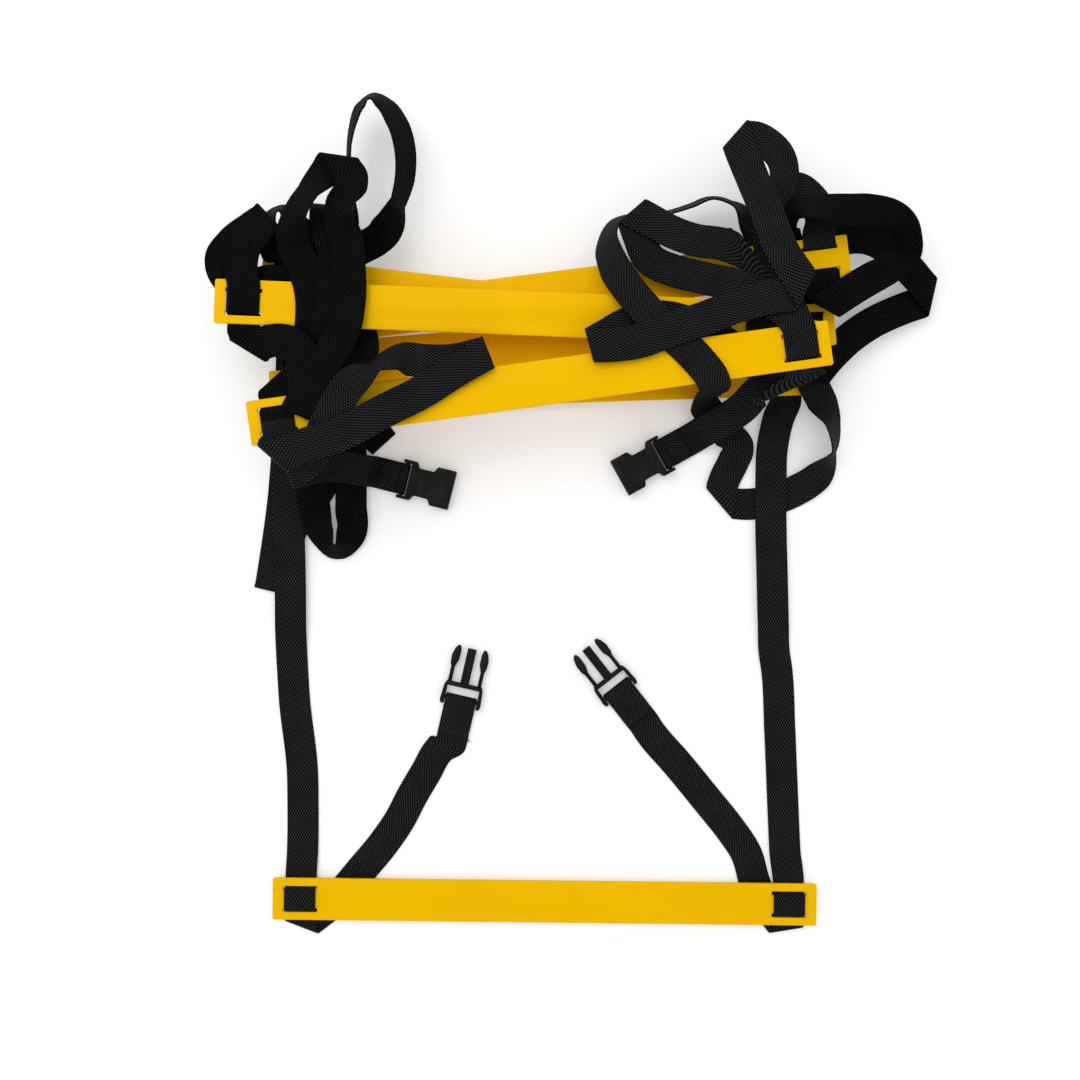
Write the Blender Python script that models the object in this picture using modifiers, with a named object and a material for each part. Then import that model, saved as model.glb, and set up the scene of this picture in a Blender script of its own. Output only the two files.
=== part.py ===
"""Agility ladder lying collapsed: eight flat rungs piled on their webbing.

The lowest rung lies drawn out on two straight bays of webbing, and the other
seven rungs are piled with the webbing between them fallen into loops.  Each
side of the ladder ends in two side-release buckle halves, one at each end.

Lengths are metres and angles are radians.  Routes of webbing are read off a
plan view: x to the right and y down in its pixels, and height in pixels of the
same size.  VIEW_HEIGHT is how far above the floor the plan is seen from.
"""

import math
from dataclasses import dataclass

import bmesh
import bpy
from mathutils import Matrix, Vector

# Rungs
RUNG_LENGTH = 0.432
RUNG_WIDTH = 0.033
RUNG_THICKNESS = 0.003
RUNG_CORNER = 0.0016
RUNG_EDGE = 0.0004
END_BAR = 0.008
CENTRE_BAR = 0.0144
SLOT = 0.0031

# Webbing
WEB_WIDTH = 0.025
WEB_THICKNESS = 0.0016
WEB_STEP = 0.009
GAP = 0.0003
SIDE_CLEARANCE = 0.00125

# Plan view
RUNG_PIXELS = 540
PIXEL = RUNG_LENGTH / RUNG_PIXELS
VIEW_HEIGHT = 0.9
VIEW_CENTRE_PIXELS = (540, 540)
ORIGIN_PIXELS = (578.3, 519.3)

# Buckles
RAIL_WIDTH = 0.0026
BUCKLE_CLEARANCE = 0.0005
BUCKLE_WIDTH = WEB_WIDTH + 2 * (RAIL_WIDTH + BUCKLE_CLEARANCE)
BAR_RADIUS = 0.0015
MALE_THICKNESS = 0.0058
MALE_REAR = 0.0055
MALE_SLOT_DEPTH = 0.0095
MALE_CROSS_DEPTH = 0.0032
SPINE_LENGTH = 0.0285
SPINE_WIDTH = 0.0070
SPINE_THICKNESS = 0.0036
SPINE_RIB_WIDTH = 0.0015
SPINE_RIB_HEIGHT = 0.0008
PRONG_LENGTH = 0.0290
PRONG_ARM = 0.0030
PRONG_BARB = 0.0062
PRONG_THICKNESS = 0.0040
PRONG_INSET = 0.0010
PRONG_OUTER = BUCKLE_WIDTH / 2 - PRONG_INSET
PRONG_FOOT = 0.0022
FEMALE_THICKNESS = 0.0098
FEMALE_LENGTH = 0.0420
FEMALE_REAR = 0.0026
FEMALE_SLOT_DEPTH = 0.0042
FEMALE_CROSS_DEPTH = 0.0065
WAIST_DEPTH = 0.0045
WAIST_WIDTH = BUCKLE_WIDTH - 2 * WAIST_DEPTH
FLANGE_DEPTH = 0.0070
MOUTH_DEPTH = 0.0150
SHELL_WALL = 0.0022
FLANK_WALL = 0.0030
CAVITY_WIDTH = BUCKLE_WIDTH - 2 * FLANK_WALL
SOFT_EDGE = 0.0005
LAP_LENGTH = 0.0300
STUB = 0.0080
SHORT_LAP_LENGTH = 0.0200

ARC_STEPS = 3
LOOP_STEPS = 8
FOLD_STEPS = 6

YELLOW = (0.86, 0.52, 0.0, 1.0)
BLACK_WEB = (0.012, 0.013, 0.015, 1.0)
BLACK_PLASTIC = (0.010, 0.010, 0.011, 1.0)

ABOVE = 1
BELOW = -1
UP_PAGE = 1
DOWN_PAGE = -1


@dataclass(frozen=True)
class Rung:
    """A rung by the pixels of its two ends in the plan, and its height."""

    name: str
    left: tuple
    right: tuple
    height: float


@dataclass(frozen=True)
class Pass:
    """A free point of a strap's route; lift turns the strap on its edge."""

    x: float
    y: float
    height: float
    lift: float = 0.0


@dataclass(frozen=True)
class Fold:
    """A flat fold of a strap about a line through a point of its route."""

    x: float
    y: float
    height: float
    next_height: float


@dataclass(frozen=True)
class Thread:
    """Half of a strap's way through a rung's window, from the centre bar out."""

    rung: int
    end: int
    side: int
    centre: int
    edge: int
    inward: bool


@dataclass(frozen=True)
class Stub:
    """A square cut across a strap, on its way out of a rung's window."""

    rung: int
    end: int
    side: int
    reach: float
    edge: int
    inward: bool


@dataclass(frozen=True)
class Cut:
    """A square cut across a strap that runs straight up or down the page."""

    x: float
    y: float
    height: float
    way: int
    side: int


@dataclass
class Station:
    """One cross-section of a strap: centre, half width and direction."""

    centre: Vector
    half: Vector = None
    heading: Vector = None
    lift: float = 0.0
    side: float = 1.0
    dense: bool = False


RUNGS = (
    Rung("rung_1", (276, 898.3), (813, 904.4), 6.75),
    Rung("rung_2", (269, 392), (814, 374), 8.0),
    Rung("rung_3", (283, 384), (838, 341), 18.0),
    Rung("rung_4", (285, 366), (832, 324), 28.0),
    Rung("rung_5", (292, 326), (849, 256), 42.0),
    Rung("rung_6", (262, 276), (820, 343), 47.0),
    Rung("rung_7", (215, 301), (791, 324), 72.0),
    Rung("rung_8", (248.5, 424), (830.5, 342.5), 90.0),
)

LEFT = -1
RIGHT = 1


def clear_scene():
    """Remove whatever objects the scene starts with."""
    for item in list(bpy.data.objects):
        bpy.data.objects.remove(item, do_unlink=True)


def place(x, y, height):
    """World position of a point seen at pixel (x, y) of the plan."""
    shrink = 1 - height * PIXEL / VIEW_HEIGHT
    across = VIEW_CENTRE_PIXELS[0] + (x - VIEW_CENTRE_PIXELS[0]) * shrink
    down = VIEW_CENTRE_PIXELS[1] + (y - VIEW_CENTRE_PIXELS[1]) * shrink
    return Vector(
        (
            (across - ORIGIN_PIXELS[0]) * PIXEL,
            (ORIGIN_PIXELS[1] - down) * PIXEL,
            height * PIXEL,
        )
    )


def rung_frame(index):
    """Centre of a rung and its directions along, across and up."""
    rung = RUNGS[index - 1]
    left = place(*rung.left, rung.height)
    right = place(*rung.right, rung.height)
    along = (right - left).normalized()
    across = Vector((-along.y, along.x, 0))
    return (left + right) / 2, along, across


def flat(vector):
    """Unit direction of a vector in plan."""
    return Vector((vector.x, vector.y, 0)).normalized()


def left_of(heading):
    """Horizontal direction to the left of a heading."""
    return Vector((-heading.y, heading.x, 0)).normalized()


def thread_stations(thread):
    """Stations of half a window's threading, in the order of travel."""
    centre, along, across = rung_frame(thread.rung)
    window = RUNG_LENGTH / 2 - END_BAR - WEB_WIDTH / 2 - SIDE_CLEARANCE
    middle = centre + along * (thread.end * window)
    out = across * thread.side
    lift = RUNG_THICKNESS / 2 + GAP + WEB_THICKNESS / 2
    radius = SLOT / 2
    inner = CENTRE_BAR / 2
    outer = RUNG_WIDTH / 2
    path = [(GAP / 2, thread.centre * lift, 0.0)]
    if thread.centre == thread.edge:
        path.append((inner + SLOT, thread.edge * lift, 0.0))
    else:
        turn = math.pi / 2 / ARC_STEPS
        rise = lift - radius
        for step in range(ARC_STEPS + 1):
            angle = turn * step
            path.append(
                (
                    inner + radius * math.sin(angle),
                    thread.centre * (rise + radius * math.cos(angle)),
                    -thread.centre * angle,
                )
            )
        for step in range(ARC_STEPS + 1):
            angle = turn * (ARC_STEPS - step)
            path.append(
                (
                    inner + SLOT - radius * math.sin(angle),
                    thread.edge * (rise + radius * math.cos(angle)),
                    thread.edge * angle,
                )
            )
        path.append((outer, thread.edge * lift, 0.0))
    stations = []
    for reach, height, tilt in path:
        heading = out * math.cos(tilt) + Vector((0, 0, math.sin(tilt)))
        point = middle + out * reach + Vector((0, 0, height))
        stations.append(Station(point, None, heading, dense=True))
    if thread.inward:
        stations.reverse()
        for station in stations:
            station.heading = -station.heading
    travel = -out if thread.inward else out
    for station in stations:
        station.half = left_of(travel) * (WEB_WIDTH / 2)
    return stations


def stub_station(stub):
    """Station at a square cut just outside a rung."""
    centre, along, across = rung_frame(stub.rung)
    window = RUNG_LENGTH / 2 - END_BAR - WEB_WIDTH / 2 - SIDE_CLEARANCE
    lift = RUNG_THICKNESS / 2 + GAP + WEB_THICKNESS / 2
    out = across * stub.side
    point = centre + along * (stub.end * window) + out * (RUNG_WIDTH / 2 + stub.reach)
    point.z += stub.edge * lift
    travel = -out if stub.inward else out
    return Station(point, left_of(travel) * (WEB_WIDTH / 2), travel)


def cut_station(cut):
    """Station at a square cut across a straight run."""
    travel = Vector((0, cut.way, 0))
    point = place(cut.x, cut.y, cut.height)
    point.y += cut.side * GAP / 2
    return Station(point, left_of(travel) * (WEB_WIDTH / 2), travel)


def fold_stations(fold, before, after):
    """Stations round a flat fold; before and after are neighbour centres."""
    start = place(fold.x, fold.y, fold.height)
    end = place(fold.x, fold.y, fold.next_height)
    radius = abs(end.z - start.z) / 2
    way = 1 if end.z > start.z else -1
    arrive = flat(start - before)
    leave = flat(after - end)
    total = arrive + leave
    if total.length < WEB_THICKNESS / WEB_WIDTH:
        line = left_of(arrive)
    else:
        line = total.normalized()
    outward = left_of(line)
    if outward.dot(arrive) < 0:
        outward = -outward
    across = left_of(arrive)
    half = line * (WEB_WIDTH / 2 / line.dot(across))
    drift = line * (line.dot(arrive) / outward.dot(arrive) * radius)
    axis = start - outward * radius
    stations = []
    for step in range(FOLD_STEPS + 1):
        angle = math.pi * step / FOLD_STEPS
        point = axis + outward * (radius * math.sin(angle))
        point += drift * (angle - math.pi / 2)
        point.z = start.z + way * radius * (1 - math.cos(angle))
        heading = (
            outward * math.cos(angle)
            + line * (line.dot(arrive) / outward.dot(arrive))
            + Vector((0, 0, way * math.sin(angle)))
        )
        stations.append(Station(point, half.copy(), heading.normalized(), dense=True))
    stations[0].heading = arrive
    stations[-1].heading = leave
    return stations


def item_points(item):
    """First and last centre of a route's item."""
    if isinstance(item, Thread):
        stations = thread_stations(item)
        return stations[0].centre, stations[-1].centre
    if isinstance(item, Station):
        return item.centre, item.centre
    if isinstance(item, Stub):
        return stub_station(item).centre, stub_station(item).centre
    if isinstance(item, Cut):
        return cut_station(item).centre, cut_station(item).centre
    if isinstance(item, Fold):
        return place(item.x, item.y, item.height), place(item.x, item.y, item.next_height)
    point = place(item.x, item.y, item.height)
    return point, point


def stations_of(route):
    """Stations of a whole route, with the strap's side flipped at each fold."""
    stations = []
    side = 1.0
    for index, item in enumerate(route):
        if isinstance(item, Thread):
            group = thread_stations(item)
        elif isinstance(item, Station):
            group = [item]
        elif isinstance(item, Stub):
            group = [stub_station(item)]
        elif isinstance(item, Cut):
            group = [cut_station(item)]
        elif isinstance(item, Fold):
            before = item_points(route[index - 1])[1]
            after = item_points(route[index + 1])[0]
            group = fold_stations(item, before, after)
        else:
            centre = place(item.x, item.y, item.height)
            group = [Station(centre, lift=math.radians(item.lift))]
        for station in group:
            station.side = side
            if station.half is not None:
                station.half = station.half * side
        if isinstance(item, Fold):
            side = -side
            for station in group:
                station.side = side
        stations.extend(group)
    return stations


def steer(stations):
    """Give free stations their heading and half width."""
    for index, station in enumerate(stations):
        if station.heading is None:
            before = stations[max(index - 1, 0)].centre
            after = stations[min(index + 1, len(stations) - 1)].centre
            first = station.centre - before
            last = after - station.centre
            if first.length == 0:
                station.heading = last.normalized()
            elif last.length == 0:
                station.heading = first.normalized()
            else:
                mix = first.normalized() * last.length + last.normalized() * first.length
                station.heading = mix.normalized()
        if station.half is None:
            level = left_of(station.heading)
            rise = station.heading.cross(level)
            turned = level * math.cos(station.lift) + rise * math.sin(station.lift)
            station.half = turned * (station.side * WEB_WIDTH / 2)


def between(first, last):
    """Evenly spaced sections of the curve from one station to the next."""
    span = last.centre - first.centre
    reach = span.length
    count = max(1, math.ceil(reach / WEB_STEP))
    if first.dense and last.dense:
        count = 1
    sections = []
    for step in range(1, count + 1):
        t = step / count
        t2 = t * t
        t3 = t2 * t
        point = (
            first.centre * (2 * t3 - 3 * t2 + 1)
            + first.heading * (reach * (t3 - 2 * t2 + t))
            + last.centre * (3 * t2 - 2 * t3)
            + last.heading * (reach * (t3 - t2))
        )
        heading = (
            first.centre * (6 * t2 - 6 * t)
            + first.heading * (reach * (3 * t2 - 4 * t + 1))
            + last.centre * (6 * t - 6 * t2)
            + last.heading * (reach * (3 * t2 - 2 * t))
        )
        if step == count:
            sections.append((last.centre, last.half))
            continue
        heading.normalize()
        half = first.half.lerp(last.half, t)
        skew = heading * half.dot(heading)
        square = half - skew
        sections.append((point, square.normalized() * (WEB_WIDTH / 2) + skew))
    return sections


def sections_of(route):
    """Cross-sections of a strap along its route."""
    stations = stations_of(route)
    steer(stations)
    sections = [(stations[0].centre, stations[0].half)]
    for first, last in zip(stations, stations[1:]):
        sections.extend(between(first, last))
    return sections


def strap(name, route):
    """Webbing laid along a route."""
    sections = sections_of(route)
    mesh = bmesh.new()
    centre, half = sections[0]
    left = mesh.verts.new(centre + half)
    right = mesh.verts.new(centre - half)
    edge = mesh.edges.new((left, right))
    for centre, half in sections[1:]:
        grown = bmesh.ops.extrude_edge_only(mesh, edges=[edge])["geom"]
        fresh = {item for item in grown if isinstance(item, bmesh.types.BMVert)}
        edge = next(
            item
            for item in grown
            if isinstance(item, bmesh.types.BMEdge) and set(item.verts) == fresh
        )
        near = next(
            vert for vert in fresh if any(link.other_vert(vert) == left for link in vert.link_edges)
        )
        far = edge.other_vert(near)
        near.co = centre + half
        far.co = centre - half
        left = near
    data = bpy.data.meshes.new(name)
    mesh.to_mesh(data)
    mesh.free()
    solid = new_object(name, data, webbing_material())
    thickness = solid.modifiers.new("web_thickness", "SOLIDIFY")
    thickness.thickness = WEB_THICKNESS
    thickness.offset = 0
    return solid


def material(name, colour, roughness):
    """A material by name, made the first time it is asked for."""
    found = bpy.data.materials.get(name)
    if found:
        return found
    made = bpy.data.materials.new(name)
    made.use_nodes = True
    shader = made.node_tree.nodes["Principled BSDF"]
    shader.inputs["Base Color"].default_value = colour
    shader.inputs["Roughness"].default_value = roughness
    return made


def webbing_material():
    """Black woven webbing."""
    return material("black_webbing", BLACK_WEB, 0.85)


def rung_material():
    """Glossy yellow plastic."""
    return material("yellow_plastic", YELLOW, 0.35)


def buckle_material():
    """Black moulded plastic."""
    return material("black_plastic", BLACK_PLASTIC, 0.3)


def collection(name):
    """A collection of the scene by name."""
    found = bpy.data.collections.get(name)
    if found:
        return found
    made = bpy.data.collections.new(name)
    bpy.context.scene.collection.children.link(made)
    return made


def new_object(name, data, look, group="agility_ladder"):
    """An object of the ladder with its material."""
    item = bpy.data.objects.new(name, data)
    collection(group).objects.link(item)
    if look:
        data.materials.append(look)
    return item


def box_mesh(name, size, centre=(0, 0, 0)):
    """Mesh of a box by its size and centre."""
    mesh = bmesh.new()
    bmesh.ops.create_cube(mesh, size=1)
    bmesh.ops.scale(mesh, vec=size, verts=mesh.verts)
    bmesh.ops.translate(mesh, vec=centre, verts=mesh.verts)
    data = bpy.data.meshes.new(name)
    mesh.to_mesh(data)
    mesh.free()
    return data


def outline_mesh(name, points, low, high):
    """Mesh of a flat outline carried from one height to another."""
    mesh = bmesh.new()
    verts = [mesh.verts.new((x, y, low)) for x, y in points]
    face = mesh.faces.new(verts)
    grown = bmesh.ops.extrude_face_region(mesh, geom=[face])["geom"]
    risen = [item for item in grown if isinstance(item, bmesh.types.BMVert)]
    bmesh.ops.translate(mesh, vec=(0, 0, high - low), verts=risen)
    bmesh.ops.recalc_face_normals(mesh, faces=mesh.faces)
    data = bpy.data.meshes.new(name)
    mesh.to_mesh(data)
    mesh.free()
    return data


def cutter(name, data, target, operation="DIFFERENCE"):
    """Cut a mesh out of an object, or join it on."""
    tool = new_object(name, data, None, "cutters")
    tool.parent = target.parent
    tool.location = target.location
    tool.rotation_euler = target.rotation_euler
    tool.hide_render = True
    tool.display_type = "WIRE"
    cut = target.modifiers.new(name, "BOOLEAN")
    cut.operation = operation
    cut.solver = "EXACT"
    cut.object = tool
    return tool


def soften(item, width, segments=1):
    """Round the sharp edges of an object."""
    bevel = item.modifiers.new("soft_edges", "BEVEL")
    bevel.width = width
    bevel.segments = segments
    bevel.limit_method = "ANGLE"
    bevel.angle_limit = math.radians(40)
    return bevel


def corner_points(length, width, radius):
    """Outline of a flat bar with rounded corners."""
    points = []
    for quarter, (sign_x, sign_y) in enumerate(((1, 1), (-1, 1), (-1, -1), (1, -1))):
        for step in range(ARC_STEPS + 1):
            angle = math.pi / 2 * (quarter + step / ARC_STEPS)
            points.append(
                (
                    sign_x * (length / 2 - radius) + radius * math.cos(angle),
                    sign_y * (width / 2 - radius) + radius * math.sin(angle),
                )
            )
    return points


def make_rung(index):
    """A flat rung with two slots through it at each end."""
    centre, along, across = rung_frame(index)
    name = RUNGS[index - 1].name
    points = corner_points(RUNG_LENGTH, RUNG_WIDTH, RUNG_CORNER)
    data = outline_mesh(name, points, -RUNG_THICKNESS / 2, RUNG_THICKNESS / 2)
    rung = new_object(name, data, rung_material())
    rung.location = centre
    rung.rotation_euler.z = math.atan2(along.y, along.x)
    slot_length = WEB_WIDTH + 2 * SIDE_CLEARANCE
    slot_place = RUNG_LENGTH / 2 - END_BAR - slot_length / 2
    for end in (LEFT, RIGHT):
        for side in (UP_PAGE, DOWN_PAGE):
            at = (end * slot_place, side * (CENTRE_BAR + SLOT) / 2, 0)
            size = (slot_length, SLOT, 2 * RUNG_THICKNESS)
            label = f"{name}_slot_{end}_{side}"
            cutter(label, box_mesh(label, size, at), rung)
    soften(rung, RUNG_EDGE)
    return rung


@dataclass(frozen=True)
class Buckle:
    """A buckle half by the pixel of its webbing bar, its heading and its lap."""

    name: str
    x: float
    y: float
    heading: float
    female: bool
    lap: float


BUCKLES = {
    "male_left": Buckle("male_buckle_left", 460.9, 699.4, 77, False, LAP_LENGTH),
    "male_right": Buckle("male_buckle_right", 617.5, 689, 128, False, LAP_LENGTH),
    "female_left": Buckle("female_buckle_left", 404, 479, -14, True, SHORT_LAP_LENGTH),
    "female_right": Buckle("female_buckle_right", 663, 454.5, 209, True, SHORT_LAP_LENGTH),
}

BAR_DROP = BAR_RADIUS + GAP + WEB_THICKNESS / 2


def bar_height(buckle):
    """Height of a buckle's webbing bar when it lies on the floor."""
    if buckle.female:
        return FEMALE_THICKNESS / 2 + GAP
    return BAR_DROP + WEB_THICKNESS / 2


def buckle_frame(buckle):
    """World place and heading of a buckle's webbing bar."""
    point = place(buckle.x, buckle.y, bar_height(buckle) / PIXEL)
    angle = math.radians(buckle.heading)
    return point, Vector((math.cos(angle), math.sin(angle), 0))


def bar_loop(key):
    """Stations of webbing that comes to a buckle's bar, rounds it and laps back."""
    buckle = BUCKLES[key]
    point, forward = buckle_frame(buckle)
    rise = Vector((0, 0, 1))
    half = left_of(forward) * (WEB_WIDTH / 2)
    lap_height = GAP + WEB_THICKNESS - BAR_DROP + GAP / 2
    straight = point - forward * (buckle.lap + SLOT) - rise * BAR_DROP
    stations = [Station(straight, half.copy(), forward)]
    for step in range(LOOP_STEPS + 1):
        angle = math.pi * step / LOOP_STEPS
        centre = point + forward * (BAR_DROP * math.sin(angle))
        centre -= rise * (BAR_DROP * math.cos(angle))
        heading = forward * math.cos(angle) + rise * math.sin(angle)
        stations.append(Station(centre, half.copy(), heading, dense=True))
    for reach in (buckle.lap / 3, buckle.lap):
        centre = point - forward * reach + rise * lap_height
        stations.append(Station(centre, half.copy(), -forward))
    return stations


LEFT_TAIL_PIXELS = (
    Stub(1, LEFT, UP_PAGE, STUB, BELOW, True),
    Thread(1, LEFT, UP_PAGE, ABOVE, BELOW, True),
    Thread(1, LEFT, DOWN_PAGE, ABOVE, BELOW, False),
    Fold(302, 927, 3.6, 1.2),
    Pass(336, 899, 1.1),
    Pass(363, 868, 1.1),
    Pass(383, 844, 1.1),
    Pass(399.5, 820, 1.1),
    Pass(412, 796, 1.1),
    Pass(426, 772, 1.1),
    Pass(439, 750, 1.1),
)
RIGHT_TAIL_PIXELS = (
    Stub(1, RIGHT, UP_PAGE, STUB, BELOW, True),
    Thread(1, RIGHT, UP_PAGE, ABOVE, BELOW, True),
    Thread(1, RIGHT, DOWN_PAGE, ABOVE, BELOW, False),
    Fold(786, 930, 3.6, 1.2),
    Pass(757, 888, 1.2),
    Pass(745, 851, 1.2),
    Pass(731, 830, 1.2),
    Pass(707, 800, 1.2),
    Pass(677.5, 764, 1.2),
    Pass(650, 732, 1.2),
)
LEFT_BAY_1_PIXELS = (
    Stub(1, LEFT, UP_PAGE, STUB + GAP, BELOW, False),
    Pass(302.5, 852, 2.8),
    Pass(303, 832, 1.5),
    Pass(303, 808, 1.4),
    Pass(302.3, 770, 1.3),
    Pass(294.5, 700, 1.3),
    Pass(292.5, 668, 1.5),
    Pass(291.5, 650, 2.8),
    Pass(290.6, 625, 5.8),
    Cut(290.4, 600, 6.5, 1, -1),
)
RIGHT_BAY_1_PIXELS = (
    Stub(1, RIGHT, UP_PAGE, STUB + GAP, BELOW, False),
    Pass(785, 852, 2.8),
    Pass(784, 832, 1.5),
    Pass(783, 808, 1.4),
    Pass(779.8, 730, 1.4),
    Pass(776.8, 670, 1.7),
    Pass(774, 650, 2.8),
    Pass(773.3, 625, 5.8),
    Cut(772.7, 600, 6.5, 1, -1),
)
LEFT_ROOT_PIXELS = (
    Cut(290.4, 600, 6.5, 1, 1),
    Pass(290, 570, 6.5),
    Pass(289, 530, 6.5),
    Pass(289, 480, 6.5),
    Pass(291, 440, 5.2),
    Thread(2, LEFT, DOWN_PAGE, ABOVE, BELOW, True),
)
RIGHT_ROOT_PIXELS = (
    Cut(772.7, 600, 6.5, 1, 1),
    Pass(772, 570, 6.5),
    Pass(771, 530, 6.0),
    Pass(771, 480, 4.6),
    Pass(772, 450, 5.0),
    Pass(778, 420, 5.0),
    Thread(2, RIGHT, DOWN_PAGE, ABOVE, BELOW, True),
)
LEFT_BAY_2_PIXELS = (
    Thread(2, LEFT, UP_PAGE, ABOVE, BELOW, False),
    Pass(294, 345, 4.7),
    Fold(293, 318, 4.2, 1.2),
    Pass(292, 345, 1.2),
    Pass(290, 420, 1.2),
    Pass(286, 465, 1.2),
    Pass(283, 500, 1.2),
    Pass(277, 545, 1.2),
    Fold(270, 590, 1.2, 3.9),
    Pass(281, 555, 3.9),
    Pass(300, 515, 3.9),
    Pass(321, 487, 3.7),
    Pass(331, 458, 6.0),
    Pass(325, 432, 12.5),
    Thread(3, LEFT, DOWN_PAGE, ABOVE, BELOW, True),
)
LEFT_BAY_3_PIXELS = (
    Thread(3, LEFT, UP_PAGE, ABOVE, BELOW, False),
    Fold(317, 322, 14.7, 12.1),
    Pass(346, 350, 12.1),
    Pass(357, 390, 12.1),
    Pass(367, 422, 12.1),
    Fold(384, 444, 9.0, 12.6),
    Pass(362, 424, 16.0),
    Pass(338, 405, 23.5),
    Thread(4, LEFT, DOWN_PAGE, ABOVE, BELOW, True),
)
LEFT_BAY_4_PIXELS = (
    Thread(4, LEFT, UP_PAGE, ABOVE, BELOW, False),
    Pass(313, 305, 25.0),
    Pass(322, 265, 26.0),
    Fold(333, 214, 30.0, 79.0),
    Pass(334, 250, 79.0),
    Pass(331, 283, 78.8),
    Pass(328, 325, 78.8),
    Pass(325, 342, 77.5),
    Pass(318, 360, 72.0),
    Pass(307, 395, 61.5),
    Pass(305, 430, 40.0),
    Pass(311, 470, 20.0),
    Pass(314, 505, 15.0, -10),
    Pass(323, 536, 14.5, 30),
    Pass(336, 552, 17.0, 64),
    Pass(350, 536, 13.0, 30),
    Pass(351, 505, 9.5),
    Pass(351, 480, 8.6),
    Pass(351, 462, 10.0),
    Pass(350, 442, 21.0),
    Pass(342, 408, 34.0),
    Pass(333, 375, 37.0),
    Thread(5, LEFT, DOWN_PAGE, ABOVE, BELOW, True),
)
LEFT_BAY_5_PIXELS = (
    Thread(5, LEFT, UP_PAGE, ABOVE, BELOW, False),
    Pass(322, 283, 38.6),
    Pass(338, 262, 38.6),
    Pass(360, 249, 41.0),
    Pass(379, 238, 46.0),
    Pass(391, 222, 52.0, 40),
    Pass(398, 203, 54.0, 74),
    Pass(405, 176, 54.0, 62),
    Pass(405, 150, 54.0, 54),
    Pass(397, 122, 50.0, 48),
    Pass(385, 104, 48.0, 52),
    Pass(371, 96, 46.0, 60),
    Pass(360, 106, 46.0, 58),
    Pass(353, 125, 46.0, 66),
    Pass(349, 150, 46.0, 74),
    Pass(349, 178, 48.0, 74),
    Pass(353, 205, 51.0, 76),
    Pass(350, 230, 53.0, 50),
    Pass(334, 246, 54.0, 15),
    Pass(310, 243, 54.0),
    Pass(296, 224, 56.0, 40),
    Pass(282, 208, 57.0, 64),
    Pass(267, 223, 56.0, 40),
    Pass(275, 247, 52.0),
    Thread(6, LEFT, UP_PAGE, ABOVE, ABOVE, True),
)
LEFT_BAY_6_PIXELS = (
    Thread(6, LEFT, DOWN_PAGE, ABOVE, ABOVE, False),
    Pass(296, 345, 50.3),
    Fold(302, 395, 50.3, 57.0),
    Pass(307, 360, 64.0),
    Pass(309, 340, 72.5),
    Pass(311, 327, 75.4),
    Pass(310, 287, 75.4),
    Pass(303, 265, 75.2),
    Pass(296, 249, 76.0),
    Pass(293, 236, 81.5),
    Pass(295, 213, 88.0, -32),
    Pass(308, 191, 88.0, -35),
    Pass(323, 175, 85.0, -10),
    Fold(339, 157, 84.0, 90.0),
    Pass(351, 184, 92.0),
    Pass(338, 208, 94.0, 30),
    Pass(346, 238, 86.0),
    Pass(349, 268, 81.8),
    Pass(349, 300, 81.6),
    Pass(344, 328, 84.0),
    Pass(328, 357, 93.0),
    Pass(311, 384, 99.0),
    Fold(296, 414, 99.0, 95.4),
    Pass(306, 388, 94.5),
    Pass(303, 368, 93.0),
    Pass(300, 352, 87.0),
    Pass(289, 342, 79.0),
    Pass(270, 341, 75.6),
    Fold(247, 350, 72.6, 68.7),
    Thread(7, LEFT, DOWN_PAGE, ABOVE, BELOW, True),
)
LEFT_BAY_7_PIXELS = (
    Thread(7, LEFT, UP_PAGE, ABOVE, ABOVE, False),
    Pass(241, 266, 76.0),
    Pass(245, 246, 77.8),
    Pass(256, 230, 77.8),
    Fold(268, 215, 77.8, 73.8),
    Pass(250, 229, 72.0),
    Pass(231, 244, 69.0),
    Pass(221, 261, 66.0),
    Pass(228, 278, 64.0),
    Pass(246, 285, 63.0),
    Pass(272, 281, 62.5),
    Pass(302, 286, 62.5),
    Pass(335, 309, 62.5),
    Pass(361, 336, 66.0),
    Pass(357, 362, 77.0),
    Pass(333, 373, 84.0),
    Pass(305, 377, 84.5),
    Fold(277, 376, 84.0, 86.7),
    Thread(8, LEFT, UP_PAGE, ABOVE, BELOW, True),
)
LEFT_HEAD_PIXELS = (
    Thread(8, LEFT, DOWN_PAGE, ABOVE, ABOVE, False),
    Fold(273, 458, 93.4, 103.0),
    Pass(308, 444, 107.5),
    Pass(340, 434, 108.6),
    Pass(380, 413, 103.0),
    Pass(420, 393, 97.8),
    Pass(460, 368, 97.6),
    Fold(488, 352, 97.6, 93.8),
    Pass(450, 361, 93.8),
    Pass(425, 361, 93.6),
    Pass(407, 359, 94.6),
    Pass(391, 360, 100.0, 40),
    Pass(375, 367, 108.0, 62),
    Pass(351, 383, 104.5, 4),
    Pass(337, 403, 103.0),
    Pass(328.5, 420, 102.2),
    Pass(319, 440, 98.0),
    Pass(313, 454, 92.0),
    Pass(304, 464, 83.0),
    Fold(288, 474, 74.0, 69.0),
    Pass(316, 467, 52.0),
    Pass(345, 467, 30.0),
    Pass(368, 471, 14.0),
)
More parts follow.
